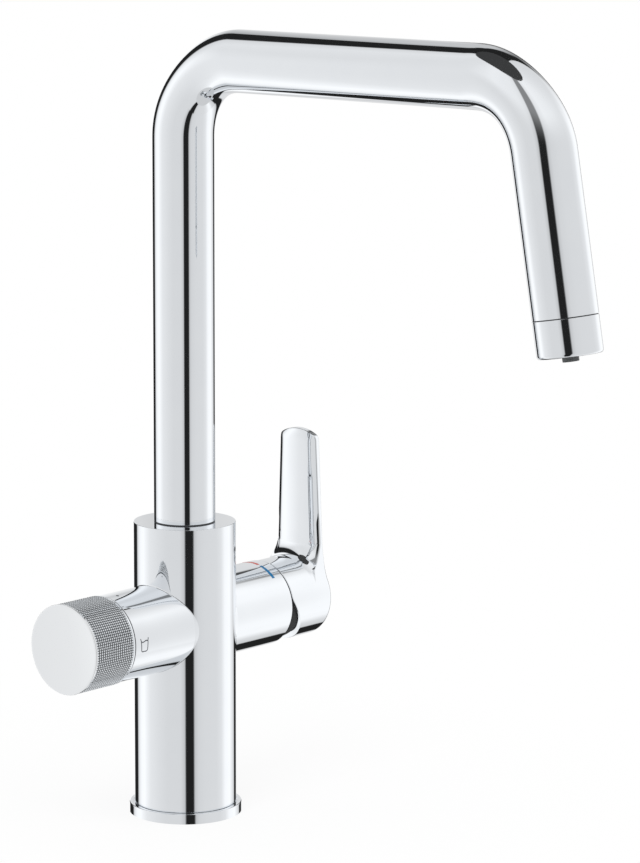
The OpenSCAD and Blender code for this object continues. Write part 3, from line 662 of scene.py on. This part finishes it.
# Grey polyacetal nozzle: a soft satin grey that shows its moulding grain.
grey_acetal, tree, shader = new_material("grey_polyacetal")
grain = speckle(tree, MOULD_GRAIN_MM)
moulded = {
    "Base Color": blend(tree, grain, linear("#414345"), linear("#4e5052")),
    "Roughness": 0.38,
    "IOR": ACETAL_IOR,
}
feed(tree, shader, moulded)
wear(nozzle, grey_acetal, "spout", ["filter_nozzle"])

# Natural polyacetal for the flow straightener, the cartridge and the knob's carrier: a milky
# off-white that light enters a little way.
pale_acetal, tree, shader = new_material("natural_polyacetal")
PALE_FLOW_MM = 20 / 3
flow = speckle(tree, PALE_FLOW_MM, detail=3.0)
moulded = {
    "Base Color": blend(tree, flow, linear("#d9d9d4"), linear("#e6e6e1")),
    "Roughness": 0.4,
    "IOR": ACETAL_IOR,
    "Subsurface Weight": 0.08,
    "Subsurface Scale": 2 * MM,
}
feed(tree, shader, moulded)
PALE_NODES = (
    "aerator", "filtered_tube", "cartridge_base", "cartridge_housing", "cartridge_carrier",
    "disc_driver", "knob_adapter",
)
for name in PALE_NODES:
    wear(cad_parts[name], pale_acetal)


# Cover cap
# A spun and chromed brass shell that hides the cartridge; the lever's hub moves over it.
PIVOT_X = 61.5
CAP_R = 19.1
CAP_BORE_R = 12.9
CAP_FROM = MIXER_LEN + 0.05
FLANGE_R = 20.2
FLANGE_T = 0.7


def on_dome(r, degrees):
    """A section point on a sphere round the lever's pivot, some degrees past its widest place."""
    turn = math.radians(degrees)
    return (r * math.cos(turn), PIVOT_X + r * math.sin(turn))


dome = [on_dome(CAP_R, a) for a in range(-15, 25, 3)]
cover_cap = turned(
    "cover_cap_spun",
    [(CAP_BORE_R, CAP_FROM), (FLANGE_R, CAP_FROM), (FLANGE_R, CAP_FROM + FLANGE_T)]
    + dome
    + [(CAP_BORE_R, dome[-1][1]), (CAP_BORE_R, CAP_FROM + 1)],
    ALONG_MIXER,
)
wear(cover_cap, chrome, "body", ["cover_cap"])

# A thin ring of dark rubber is painted shadow: it stands for the shadow gap in the hub's mouth,
# over the cap's flange and the part of its dome that shows there. It is embedded in the cap and
# stands a tenth of a millimetre proud.
SHADOW_RING_R = 20.35
SHADOW_RING_T = 0.12
SHADOW_RING_IN = 0.6
SHADOW_RING_EDGE = 0.1
SHADOW_RING_FROM = CAP_FROM - 0.02
SHADOW_RING_END = CAP_FROM + 0.8
shadow_ring_turns = [-14 + 26 * k / 10 for k in range(11)]
cap_painted_shadow_ring = turned(
    "cap_painted_shadow_ring",
    [
        (CAP_R - SHADOW_RING_IN, SHADOW_RING_FROM),
        (SHADOW_RING_R - SHADOW_RING_EDGE, SHADOW_RING_FROM),
        (SHADOW_RING_R, SHADOW_RING_FROM + SHADOW_RING_EDGE),
        (SHADOW_RING_R, SHADOW_RING_END - SHADOW_RING_EDGE),
        (SHADOW_RING_R - SHADOW_RING_EDGE, SHADOW_RING_END),
    ]
    + [on_dome(CAP_R + SHADOW_RING_T, a) for a in shadow_ring_turns]
    + [on_dome(CAP_R - SHADOW_RING_IN, a) for a in reversed(shadow_ring_turns)],
    ALONG_MIXER,
)
# The painted shadow ring takes the black rubber.
wear(cap_painted_shadow_ring, rubber, "body")


# Lever
# A die-cast and chromed lever: a drum over the cartridge, and a blade with a softly crowned face.
# The drum's mouth is cut back below the middle so that the lever can be lifted.
# The drum, with the height under which its mouth is cut back.
HUB_R = 20.7
HUB_WALL = 1.2
HUB_START = MIXER_LEN + 1.2
HUB_ROUND = 2
RELIEF_FROM = 4.3
RELIEF_HALF_BLEND = 2
RELIEF_SLOPE = math.tan(math.radians(29))
# The blade's outline from the front: half widths at tip and root, heights over the branch's axis.
BLADE_H = 85
TIP_HALF = 11.8
TIP_CROWN = 3.6
TIP_CORNER_R = 2.2
ROOT_HALF = 15.3
FLARE_R = 50
# Its front: a crowned face that rolls off over the last millimetres, and the sweep from the drum.
LEVER_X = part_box("lever")[1].x / MM
FACE_MID = LEVER_X - 5.1
CROWN_R = 60
PILLOW = 5
PILLOW_R = 10
SWEEP_H = 14
SWEEP_T = 10.5
SWEEP_END = LEVER_X - 3.1
SWEEP_TAPER = 0.12
# Its edges: rounded all round, with a ground bevel low down that fades out between two heights.
EDGE_R = 0.65
BACK_EDGE_R = 0.65
BEVEL = 1.0
BEVEL_TOP = 43
BEVEL_FULL = 37
FACE_TILT = math.radians(37)
BEVEL_TILT = math.radians(49)


def blade_outline():
    """Right half of the lever's front outline from the top down, round the branch's axis."""
    corner_h = BLADE_H - TIP_CROWN
    tip_r = (TIP_HALF**2 + TIP_CROWN**2) / (2 * TIP_CROWN)
    taper = math.atan((ROOT_HALF - TIP_HALF) / corner_h)
    across = ROOT_HALF * math.cos(taper) + FLARE_R
    rise = math.sqrt((HUB_R + FLARE_R) ** 2 - across**2)
    out = Vector((math.cos(taper), math.sin(taper)))
    up = Vector((-math.sin(taper), math.cos(taper)))
    flare = across * out + rise * up
    flare_top = flare - FLARE_R * out
    crown = Vector((0, BLADE_H - tip_r))
    sharp = Vector((TIP_HALF, corner_h))
    arc_half = math.asin(TIP_HALF / tip_r)
    points = [
        crown + tip_r * Vector((math.sin(arc_half * k / 20), math.cos(arc_half * k / 20)))
        for k in range(18)
    ]
    start, end = points.pop(), sharp - up * TIP_CORNER_R
    for k in range(11):
        s = k / 10
        points.append(start * (1 - s) ** 2 + sharp * 2 * s * (1 - s) + end * s**2)
    for k in range(1, 40):
        points.append(end.lerp(flare_top, k / 40))
    low_turn = math.atan2(flare.y, flare.x)
    for k in range(41):
        turn = math.pi + taper + (low_turn - taper) * k / 40
        points.append(flare + FLARE_R * Vector((math.cos(turn), math.sin(turn))))
    return points


right_half = blade_outline()
drum_from = math.atan2(right_half[-1].x, right_half[-1].y)
drum_turns = [drum_from + (math.pi - drum_from) * k / 96 for k in range(1, 97)]
right_half += [HUB_R * Vector((math.sin(t), math.cos(t))) for t in drum_turns]
lever_outline = right_half + [Vector((-p.x, p.y)) for p in reversed(right_half[1:-1])]
blade_edge = [p for p in lever_outline if p.length > HUB_R + 0.01]
near_edge = KDTree(len(blade_edge))
for k, spot in enumerate(blade_edge):
    near_edge.insert((spot.x, spot.y, 0), k)
near_edge.balance()
outward = []
for k, spot in enumerate(lever_outline):
    along = lever_outline[(k + 1) % len(lever_outline)] - lever_outline[k - 1]
    outward.append(Vector((-along.y, along.x)).normalized())


def gap_to_edge(spot):
    """Distance from the blade's outline."""
    k = near_edge.find((spot.x, spot.y, 0))[1]
    here = blade_edge[k]
    gaps = []
    for other in (blade_edge[k - 1], blade_edge[(k + 1) % len(blade_edge)]):
        along = other - here
        share = min(max((spot - here).dot(along) / along.length_squared, 0), 1)
        gaps.append((spot - here - along * share).length)
    return min(gaps)


def crowned_x(spot):
    """Place along the branch of the blade's crowned face."""
    return FACE_MID + spot.x**2 / (2 * CROWN_R)


def swept_x(spot):
    """Place along the branch of the hollow sweep that rises from the drum."""
    u = max((spot.length - HUB_R) / SWEEP_H, 0)
    if u > 1:
        return SWEEP_END + (u - 1) * SWEEP_H * SWEEP_TAPER
    return SWEEP_END - SWEEP_T * (1 - math.sqrt(1 - (1 - u) ** 2))


def face_x(spot):
    """Place of the lever's front along the branch; it rolls off towards the blade's outline."""
    turn = math.asin(max(PILLOW - gap_to_edge(spot), 0) / PILLOW_R)
    return min(crowned_x(spot), swept_x(spot)) + PILLOW_R * (1 - math.cos(turn))


def mouth_x(z):
    """Place of the mouth's rim along the branch, at a height over the branch's axis."""
    bend = RELIEF_FROM - z
    if abs(bend) < RELIEF_HALF_BLEND:
        rise = (bend + RELIEF_HALF_BLEND) ** 2 / (4 * RELIEF_HALF_BLEND)
        return HUB_START + RELIEF_SLOPE * rise
    return HUB_START + RELIEF_SLOPE * max(bend, 0)


def lever_loop(*spots):
    """One loop round the lever, from (x, spot) pairs."""
    return [Vector((x, -spot.x, BRANCH_Z + spot.y)) * MM for x, spot in spots]


# Outside the drum's circle the blade's edges come in over this distance.
BLADE_BLEND = 1.5
MOUTH_EDGE = 0.35
DOME_ROWS = 24
rim_spots = [p.normalized() * HUB_R for p in lever_outline]
fulls = [min((p.length - HUB_R) / BLADE_BLEND, 1) for p in lever_outline]
inner_r = HUB_R - HUB_WALL
deep = PIVOT_X + inner_r
loops = []
for k in range(DOME_ROWS + 1):
    share = math.sin(math.pi / 2 * k / DOME_ROWS)
    ring = []
    for spot in rim_spots:
        x = deep + (mouth_x(spot.y * inner_r / HUB_R) - deep) * share
        r = math.sqrt(max(inner_r**2 - (x - PIVOT_X) ** 2, 0))
        ring.append((x, spot * r / HUB_R))
    loops.append(lever_loop(*ring))
for lift, inset in ((0, MOUTH_EDGE), (0.1, 0.1), (MOUTH_EDGE, 0)):
    loops.append(lever_loop(*[(mouth_x(p.y) + lift, p * (1 - inset / HUB_R)) for p in rim_spots]))
feet = [face_x(p) for p in rim_spots]
for share in (0.02, 0.25, 0.5, 0.75):
    ring = []
    for spot, foot in zip(rim_spots, feet):
        start = mouth_x(spot.y) + MOUTH_EDGE
        ring.append((start + (foot - start) * share, spot))
    loops.append(lever_loop(*ring))
bevels = []
for spot, full in zip(lever_outline, fulls):
    grown = min(max((BEVEL_TOP - spot.y) / (BEVEL_TOP - BEVEL_FULL), 0), 1)
    bevels.append(grown * grown * (3 - 2 * grown) * full)
tilts = [FACE_TILT + (BEVEL_TILT - FACE_TILT) * b for b in bevels]
bevel_foot = [
    p - n * EDGE_R * (1 - math.sin(t)) * f
    for p, n, t, f in zip(lever_outline, outward, tilts, fulls)
]
face_rim = [p - n * BEVEL * b for p, n, b in zip(bevel_foot, outward, bevels)]
SWEEP_ROWS = 18
MIDDLE_ROWS = 8
PILLOW_ROWS = 9
EDGE_ROWS = 5
DRUM_STEP = 0.05


def shares_along(foot, end):
    """Where the face's rows cross one spoke: up the sweep, over the face, down its roll-off."""
    rows = SWEEP_ROWS + MIDDLE_ROWS + PILLOW_ROWS

    def last_share(holds):
        """The last place on the spoke, by halving, where a condition holds."""
        low, high = 0, 1 if holds(foot) else 0
        for _ in range(14):
            middle = (low + high) / 2
            if holds(foot.lerp(end, middle)):
                low = middle
            else:
                high = middle
        return high

    crease = last_share(lambda p: swept_x(p) < crowned_x(p))
    if crease > 0.97:
        return [k / rows for k in range(rows + 1)]
    shares = [crease * (1 - math.cos(math.pi / 2 * k / SWEEP_ROWS)) for k in range(SWEEP_ROWS)]
    pillow = last_share(lambda p: gap_to_edge(p) > PILLOW)
    if pillow < crease:
        rest = MIDDLE_ROWS + PILLOW_ROWS
        return shares + [crease + (1 - crease) * k / rest for k in range(rest + 1)]
    shares += [crease + (pillow - crease) * k / MIDDLE_ROWS for k in range(MIDDLE_ROWS)]
    rim_gap = gap_to_edge(end)
    for k in range(PILLOW_ROWS):
        wanted = PILLOW - (PILLOW - rim_gap) * k / PILLOW_ROWS
        shares.append(last_share(lambda p: gap_to_edge(p) > wanted))
    return shares + [1]


spokes = [shares_along(foot, end) for foot, end in zip(rim_spots, face_rim)]
face_rows = []
for k in range(len(spokes[0])):
    spots = [foot.lerp(end, sh[k]) for foot, end, sh in zip(rim_spots, face_rim, spokes)]
    face_rows.append([(face_x(p), p) for p in spots])
edge_x = [face_x(p) + BEVEL * b * math.tan(BEVEL_TILT) for p, b in zip(face_rim, bevels)]
face_rows.append(list(zip(edge_x, bevel_foot)))
for k in range(1, EDGE_ROWS + 1):
    ring = []
    for spot, n, f, x, tilt in zip(lever_outline, outward, fulls, edge_x, tilts):
        turn = tilt + (math.pi / 2 - tilt) * k / EDGE_ROWS
        drop = EDGE_R * (math.cos(tilt) - math.cos(turn)) * f
        ring.append((x + drop, spot - n * EDGE_R * (1 - math.sin(turn)) * f))
    face_rows.append(ring)
for k, ring in enumerate(face_rows):
    loops.append(
        lever_loop(*[(x + DRUM_STEP * k * (1 - f), p) for (x, p), f in zip(ring, fulls)])
    )
drum_depth = DRUM_STEP * (len(face_rows) - 1)
flank_x = [x + drum_depth * (1 - f) for (x, p), f in zip(face_rows[-1], fulls)]
BACK_BLEND = 4
BACK_ROWS = 7
back_r = [
    HUB_ROUND + (BACK_EDGE_R - HUB_ROUND) * min((p.length - HUB_R) / BACK_BLEND, 1)
    for p in lever_outline
]
for share in (0.1, 0.5, 0.97, 1):
    ring = [
        (x + (LEVER_X - r - x) * share, spot) for spot, x, r in zip(lever_outline, flank_x, back_r)
    ]
    loops.append(lever_loop(*ring))
for k in range(1, BACK_ROWS + 1):
    turn = math.pi / 2 * k / BACK_ROWS
    ring = []
    for spot, n, r in zip(lever_outline, outward, back_r):
        ring.append((LEVER_X - r + r * math.sin(turn), spot - n * r * (1 - math.cos(turn))))
    loops.append(lever_loop(*ring))
back_rim = [spot - n * r for spot, n, r in zip(lever_outline, outward, back_r)]
for share in (0.97, 0.5, 0):
    loops.append(lever_loop(*[(LEVER_X, spot * share) for spot in back_rim]))
lever = skinned("lever_cast", loops, 40)
wear(lever, chrome, "lever", ["lever"])


# Filter knob
# A brass sleeve with a fine cross knurl between two smooth lands, chrome plated, closed by a
# chromed cap. The knurl's pitch is about 1.25 mm both ways.
KNOB_R = 21.75
KNOB_BORE_R = KNOB_R - 2
KNOB_START = FILTER_LEN + 0.8
KNOB_END = KNOB_START + 26.5
LAND_IN = 1.1
LAND_OUT = 0.9
KNURL_ROUND = 112
KNURL_ALONG = 19
KNURL_DEPTH = 0.38
CREST_UNDER = 0.03
# Points along one cell of the knurl.
CELL = 6
AROUND = KNURL_ROUND * CELL
ALONG_FILTER = Matrix.Translation((0, 0, BRANCH_Z * MM)) @ Matrix.Rotation(
    math.radians(-90), 4, "Y"
)


def knurl_height(around, along):
    """Depth of the cross knurl at a place in cells: pyramids with flat square tops."""
    a = abs((around % 1) * 2 - 1)
    b = abs((along % 1) * 2 - 1)
    return max(a, b, 0.5) * 2 - 1


def knob_loop(radii, z):
    """One loop round the knob's axis, from one radius per point or a single one."""
    if not isinstance(radii, list):
        radii = [radii] * AROUND
    loop = []
    for i, r in enumerate(radii):
        t = 2 * math.pi * i / AROUND
        loop.append(Vector((r * math.cos(t), r * math.sin(t), z)) * MM)
    return loop


band_from = KNOB_START + LAND_IN
band_to = KNOB_END - LAND_OUT
loops = [knob_loop(KNOB_BORE_R, band_to), knob_loop(KNOB_BORE_R, KNOB_START + 0.4)]
inner_land = rounded(
    (KNOB_BORE_R, KNOB_START + 1),
    (KNOB_BORE_R, KNOB_START, 0.2),
    (KNOB_R, KNOB_START, 0.3),
    (KNOB_R, band_from),
)
for r, z in inner_land[1:]:
    loops.append(knob_loop(r, z))
rows = KNURL_ALONG * CELL
for j in range(rows + 1):
    along = j / CELL
    z = band_from + (band_to - band_from) * j / rows
    radii = []
    for i in range(AROUND):
        sunk = KNURL_DEPTH * knurl_height(i / CELL, along)
        radii.append(KNOB_R - CREST_UNDER - (0 if j in (0, rows) else sunk))
    loops.append(knob_loop(radii, z))
loops.append(knob_loop(KNOB_BORE_R, band_to))
knob_sleeve = skinned("knob_sleeve_knurled", loops, 25)
knob_sleeve.data.transform(ALONG_FILTER)

# The same chrome on the knurl, with painted shade in the grooves: their bottoms are coloured near
# black, told apart from the crests by the distance from the knob's axis.
knurled, tree, shader = new_material("knurled_chrome_painted_groove_shade")
place = add_node(tree, "ShaderNodeTexCoord").outputs["Object"]
from_axis = add_node(
    tree, "ShaderNodeVectorMath", {0: place, 1: (0, 0, BRANCH_Z * MM)}, operation="SUBTRACT"
)
across_axis = add_node(
    tree, "ShaderNodeVectorMath", {0: from_axis.outputs[0], 1: (0, 1, 1)}, operation="MULTIPLY"
)
radius = add_node(tree, "ShaderNodeVectorMath", {0: across_axis.outputs[0]}, operation="LENGTH")
GROOVE_SHADE_R = (KNOB_R - 0.3) * MM
LIT_CREST_R = (KNOB_R - 0.1) * MM
painted_shade_fade = remap(tree, radius.outputs["Value"], GROOVE_SHADE_R, LIT_CREST_R, 0.0, 1.0)
# Painted shade: near black at the groove bottoms, bright chrome on the crests.
painted_groove_shade = blend(tree, painted_shade_fade, linear("#1d1f21"), linear("#edf1f5"))
feed(tree, shader, {"Base Color": painted_groove_shade, "Metallic": 1.0, "Roughness": 0.08})
wear(knob_sleeve, knurled, "filter_knob", ["knob_sleeve"])

# The cap closes the sleeve with a plug, and its face is hollowed to a shallow dish.
PLUG_R = KNOB_R - 2.1
PLUG_FROM = KNOB_END - 1.6
DISH_R = KNOB_R - 1.1
DISH_DEEP = 0.9
DISH_ROWS = 12
dish_shares = [1 - k / DISH_ROWS for k in range(1, DISH_ROWS + 1)]
dish = [(DISH_R * q, KNOB_END - DISH_DEEP * (1 - q**2)) for q in dish_shares]
knob_cap = turned(
    "knob_cap_pressed",
    rounded(
        (0, PLUG_FROM),
        (PLUG_R, PLUG_FROM),
        (PLUG_R, band_to + 0.02),
        (KNOB_R, band_to + 0.02),
        (KNOB_R, KNOB_END, 0.35),
        (DISH_R, KNOB_END, 0.3),
        *dish,
    ),
    ALONG_FILTER,
)

# The knob's cap is chromed over a finely ground face, so it mirrors softly.
satin_chrome, tree, shader = new_material("satin_chrome_plate")
GROUND_GRIT_MM = 0.3
ground = remap(tree, speckle(tree, GROUND_GRIT_MM), 0.3, 0.7, 0.03, 0.06)
feed(tree, shader, {"Base Color": linear("#eff1f3"), "Metallic": 1.0, "Roughness": ground})
wear(knob_cap, satin_chrome, "filter_knob", ["knob_cap"])


# Inner brass, steel and ceramic pieces
# What is left shows only from below, through the outlet or with a piece taken off.
def metal(name, hex_dark, hex_light, rough, grain_mm):
    """Machined metal with a grain of tool marks."""
    material, tree, shader = new_material(name)
    marks = speckle(tree, grain_mm)
    machined = {
        "Base Color": blend(tree, marks, linear(hex_dark), linear(hex_light)),
        "Normal": bump(tree, marks, 0.3, 0.03),
        "Roughness": rough,
        "Metallic": 1.0,
    }
    feed(tree, shader, machined)
    return material


machined_brass = metal("machined_brass", "#b8924a", "#cfab62", 0.32, 0.5)
stainless_steel = metal("stainless_steel", "#a9abad", "#c2c4c6", 0.3, 0.4)
BRASS_NODES = (
    "inlet_plate", "cartridge_nut", "cartridge_stem", "headpart_body", "spindle", "spout_spigot",
    "outlet_adapter",
)
for name in BRASS_NODES:
    wear(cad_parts[name], machined_brass)
for name in ("stop_screw", "carrier_pin", "lever_screw", "headpart_clip", "knob_screw"):
    wear(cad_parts[name], stainless_steel)

# Alumina ceramic for the valve discs: off-white, lapped smooth.
alumina, tree, shader = new_material("lapped_alumina")
CERAMIC_GRAIN_MM = 0.4
fired = blend(tree, speckle(tree, CERAMIC_GRAIN_MM), linear("#e6e3da"), linear("#f0ede5"))
feed(tree, shader, {"Base Color": fired, "Roughness": 0.3, "IOR": 1.76})
DISC_NODES = (
    "cartridge_fixed_disc", "moving_disc", "headpart_fixed_disc", "headpart_turning_disc",
)
for name in DISC_NODES:
    wear(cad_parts[name], alumina)


# Studio floor
# A white sweep: lit softly round the tap's foot so that its shadow stays, and plain white
# further out.
WHITE = linear("#ffffff")
FLOOR_R = 12
bpy.ops.object.select_all(action="DESELECT")
bpy.ops.mesh.primitive_circle_add(
    vertices=96, radius=FLOOR_R, fill_type="NGON", location=(0, 0, 0)
)
floor = bpy.context.object
floor.name = "studio_floor"
floor.visible_glossy = False
floor.visible_transmission = False

paper, tree, shader = new_material("white_background_paper")
PAPER_GRAIN_MM = 2.5
matt = {
    "Base Color": blend(tree, speckle(tree, PAPER_GRAIN_MM), linear("#f4f4f4"), linear("#f8f8f8")),
    "Roughness": 0.95,
    "Specular IOR Level": 0.0,
}
feed(tree, shader, matt)
# How much plain white the camera sees, from the tap's foot outwards.
SHADOW_TO = 0.03
WHITE_FROM = 0.3
FOOT_WHITE = 0.86
place = add_node(tree, "ShaderNodeTexCoord").outputs["Object"]
distance = add_node(tree, "ShaderNodeVectorMath", {0: place}, operation="LENGTH")
away = distance.outputs["Value"]
far = remap(tree, away, SHADOW_TO, WHITE_FROM, FOOT_WHITE, 1.0, "SMOOTHSTEP")
rays = add_node(tree, "ShaderNodeLightPath")
shows = add_node(
    tree, "ShaderNodeMath", {0: rays.outputs["Is Camera Ray"], 1: far}, operation="MULTIPLY"
)
white = add_node(tree, "ShaderNodeEmission", {"Color": WHITE, "Strength": 1.0})
mixed = add_node(
    tree,
    "ShaderNodeMixShader",
    {0: shows.outputs[0], 1: shader.outputs["BSDF"], 2: white.outputs[0]},
)
output = next(n for n in tree.nodes if n.type == "OUTPUT_MATERIAL")
feed(tree, output, {"Surface": mixed.outputs[0]})
floor.data.materials.append(paper)


# Light tent
# Chrome shows nothing but its surroundings, so these are modelled: a round tent of white cloth
# with black gaps, 0.58 m from the tap. Only mirror surfaces see it; the camera looks through it.
TENT_R = 0.575
TENT_LOW = -1.0
TENT_HIGH = 1.8
TENT_GLOW = 1.14
CAMERA_SIDE = -135.2
bpy.ops.object.select_all(action="DESELECT")
bpy.ops.mesh.primitive_cylinder_add(
    vertices=180,
    radius=TENT_R,
    depth=TENT_HIGH - TENT_LOW,
    end_fill_type="NOTHING",
    location=(0, 0, (TENT_HIGH + TENT_LOW) / 2),
)
tent = bpy.context.object
tent.name = "light_tent"
bpy.ops.object.transform_apply(location=True, rotation=True, scale=True)
tent.visible_camera = False
tent.visible_diffuse = False
tent.visible_transmission = False
tent.visible_shadow = False

cloth = bpy.data.materials.new("lit_tent_cloth")
cloth.use_nodes = True
tree = cloth.node_tree
tree.nodes.clear()
place = add_node(tree, "ShaderNodeTexCoord").outputs["Object"]
facing = add_node(
    tree,
    "ShaderNodeMapping",
    {"Vector": place, "Rotation": (0, 0, math.radians(-CAMERA_SIDE))},
    vector_type="POINT",
)
split = add_node(tree, "ShaderNodeSeparateXYZ", {0: facing.outputs[0]})
height = split.outputs["Z"]
compass = add_node(
    tree, "ShaderNodeMath", {0: split.outputs["Y"], 1: split.outputs["X"]}, operation="ARCTAN2"
)
around = remap(tree, compass.outputs[0], -math.pi, math.pi, 0.0, 1.0)


def ramp_round_tent(stops):
    """A ramp round the tent, from (degrees, colour) stops; 0 degrees faces the camera."""
    made = add_node(tree, "ShaderNodeValToRGB", {"Fac": around})
    points = made.color_ramp.elements
    for k, (degrees, colour) in enumerate(stops):
        position = (degrees + 180) / 360
        point = points[k] if k < 2 else points.new(position)
        point.position = position
        point.color = colour
    return made.outputs[0]


def tent_row(*stops):
    """One row of the tent in greys, from (degrees, level) stops; level 1 is white."""
    return ramp_round_tent(
        [(degrees, linear("#" + f"{round(level * 255):02x}" * 3)) for degrees, level in stops]
    )


def fade(below, above, low, high, value=height):
    """One part of the tent fading into the next, between two heights."""
    return blend(tree, remap(tree, value, low, high, 0.0, 1.0, "SMOOTHSTEP"), below, above)


# Three rows of cloth, one over the other. The black gaps draw the dark lines on the chrome, and
# the slow changes of grey shade the faces between them.
BLACK = 0.13
low_row = tent_row(
    (-180, BLACK), (-148, BLACK), (-144, 0.78), (-132, 0.9), (-121, 0.98), (-108, 1.0),
    (-96, 0.945), (-84, 0.91), (-60, 0.87), (-40, 0.85), (-2, 0.84), (2, BLACK), (21, BLACK),
    (24, 0.8), (35, 0.845), (75, 0.85), (90, 0.89), (103, 0.98), (113, 0.98), (124, 0.86),
    (136, 0.8), (138, BLACK),
)
mid_row = tent_row(
    (-180, 0.8), (-172, 1.0), (-166, 1.0), (-163, BLACK), (-136, BLACK), (-133, 0.8), (-126, 0.93),
    (-117, 0.99), (-106, 1.0), (-98, 0.96), (-86, 0.905), (-62, 0.87), (-42, 0.848), (-12, 0.845),
    (-3, 0.77), (-0.5, BLACK), (16.5, BLACK), (19, 0.77), (27, 0.83), (42, 0.847), (72, 0.853),
    (86, 0.89), (98, 0.98), (116, 1.0), (126, 0.92), (138.5, 0.8), (141, BLACK), (159, BLACK),
    (162, 0.85), (174, 0.85), (180, 0.78),
)
high_row = tent_row(
    (-180, 0.75), (-170, 0.68), (-165, 0.5), (-162, BLACK), (-134, BLACK), (-130, 0.84),
    (-108, 0.89), (-85, 0.87), (-68, 0.88), (-45, 0.93), (-15, 0.915), (-3, 0.88), (0, 0.52),
    (16.5, 0.52), (20, 0.89), (35, 0.94), (60, 0.92), (85, 0.885), (110, 0.86), (127, 0.84),
    (129, BLACK), (137, BLACK), (142, 0.6), (152, 0.76), (180, 0.76),
)
# How high the white cloth reaches, in metres; a ramp holds no more than 1, so it carries shares
# of the tallest.
TALLEST = 2
window_tops = (
    (-180, 1.18), (-170, 1.05), (-163, 0.5), (-160, 0.45), (-136, 0.45), (-133, TALLEST),
    (126, TALLEST), (128, 0.7), (145, 0.9), (165, 1.15),
)
window_top = ramp_round_tent([(turn, (top / TALLEST,) * 3 + (1,)) for turn, top in window_tops])
top_height = add_node(
    tree, "ShaderNodeMath", {0: window_top, 1: float(TALLEST)}, operation="MULTIPLY"
)
past_top = add_node(
    tree, "ShaderNodeMath", {0: height, 1: top_height.outputs[0]}, operation="SUBTRACT"
)
# The heights between which the rows pass into each other, and the cloth into the dark above it.
LOW_FADE = (-0.25, -0.19)
HIGH_FADE = (0.42, 0.75)
TOP_FADE = 0.04
lower = fade(low_row, mid_row, *LOW_FADE)
upper = fade(lower, high_row, *HIGH_FADE)
walls = fade(upper, linear("#212121"), -TOP_FADE, TOP_FADE, past_top.outputs[0])
glow = add_node(tree, "ShaderNodeEmission", {"Color": walls, "Strength": TENT_GLOW})
add_node(tree, "ShaderNodeOutputMaterial", {"Surface": glow.outputs[0]})
tent.data.materials.append(cloth)


# Plain white room
# The world gives matt surfaces an even light and the camera plain white. Mirrors that look past
# the tent see a grey below and near black above.
world = bpy.data.worlds.new("white_room")
world.use_nodes = True
bpy.context.scene.world = world
tree = world.node_tree
tree.nodes.clear()
DAYLIGHT = 0.75
MIRRORED_BELOW, MIRRORED_ABOVE = 0.68, 0.05
daylight = add_node(tree, "ShaderNodeBackground", {"Color": WHITE, "Strength": DAYLIGHT})
way = add_node(tree, "ShaderNodeTexCoord").outputs["Generated"]
way_up = add_node(tree, "ShaderNodeSeparateXYZ", {0: way}).outputs["Z"]
ceiling = remap(tree, way_up, -0.1, 0.1, MIRRORED_BELOW, MIRRORED_ABOVE)
mirrored = add_node(tree, "ShaderNodeBackground", {"Color": WHITE, "Strength": ceiling})
seen = add_node(tree, "ShaderNodeBackground", {"Color": WHITE, "Strength": 1.0})
rays = add_node(tree, "ShaderNodeLightPath")
for_mirrors = add_node(
    tree,
    "ShaderNodeMixShader",
    {0: rays.outputs["Is Glossy Ray"], 1: daylight.outputs[0], 2: mirrored.outputs[0]},
)
for_all = add_node(
    tree,
    "ShaderNodeMixShader",
    {0: rays.outputs["Is Camera Ray"], 1: for_mirrors.outputs[0], 2: seen.outputs[0]},
)
add_node(tree, "ShaderNodeOutputWorld", {"Surface": for_all.outputs[0]})


# Lamps
# One large soft lamp above the left shoulder of the camera and a weaker one on the right, both
# kept out of the mirror surfaces, which have the tent's walls instead.
LAMP_AIM = Vector((0, 0, 0.15))


def soft_lamp(name, place, size, watts):
    """A square area lamp that points at the tap."""
    light = bpy.data.lights.new(name, "AREA")
    light.size = size
    light.energy = watts
    lamp = put(name, light)
    lamp.location = place
    lamp.rotation_euler = (LAMP_AIM - Vector(place)).to_track_quat("-Z", "Y").to_euler()
    lamp.visible_glossy = False


soft_lamp("key_lamp", (-1.6, -0.6, 1.9), size=1.2, watts=22)
soft_lamp("fill_lamp", (0.9, -1.9, 1.3), size=1.5, watts=9)


# Camera
# The photograph's view: from the front left, a little above the spout, with a long lens.
CAMERA_DOWN = 8.267
CAMERA_TURN = -48.469
camera_data = bpy.data.cameras.new("camera")
camera = put("camera", camera_data)
camera.location = (-1.3, -1.2115, 0.498)
camera.rotation_euler = (math.radians(90 - CAMERA_DOWN), 0, math.radians(CAMERA_TURN))
camera_data.lens = 154.7
camera_data.shift_x = 0.05
camera_data.shift_y = -0.12
camera_data.clip_end = 60
bpy.context.scene.camera = camera
bpy.context.scene.view_settings.view_transform = "Standard"
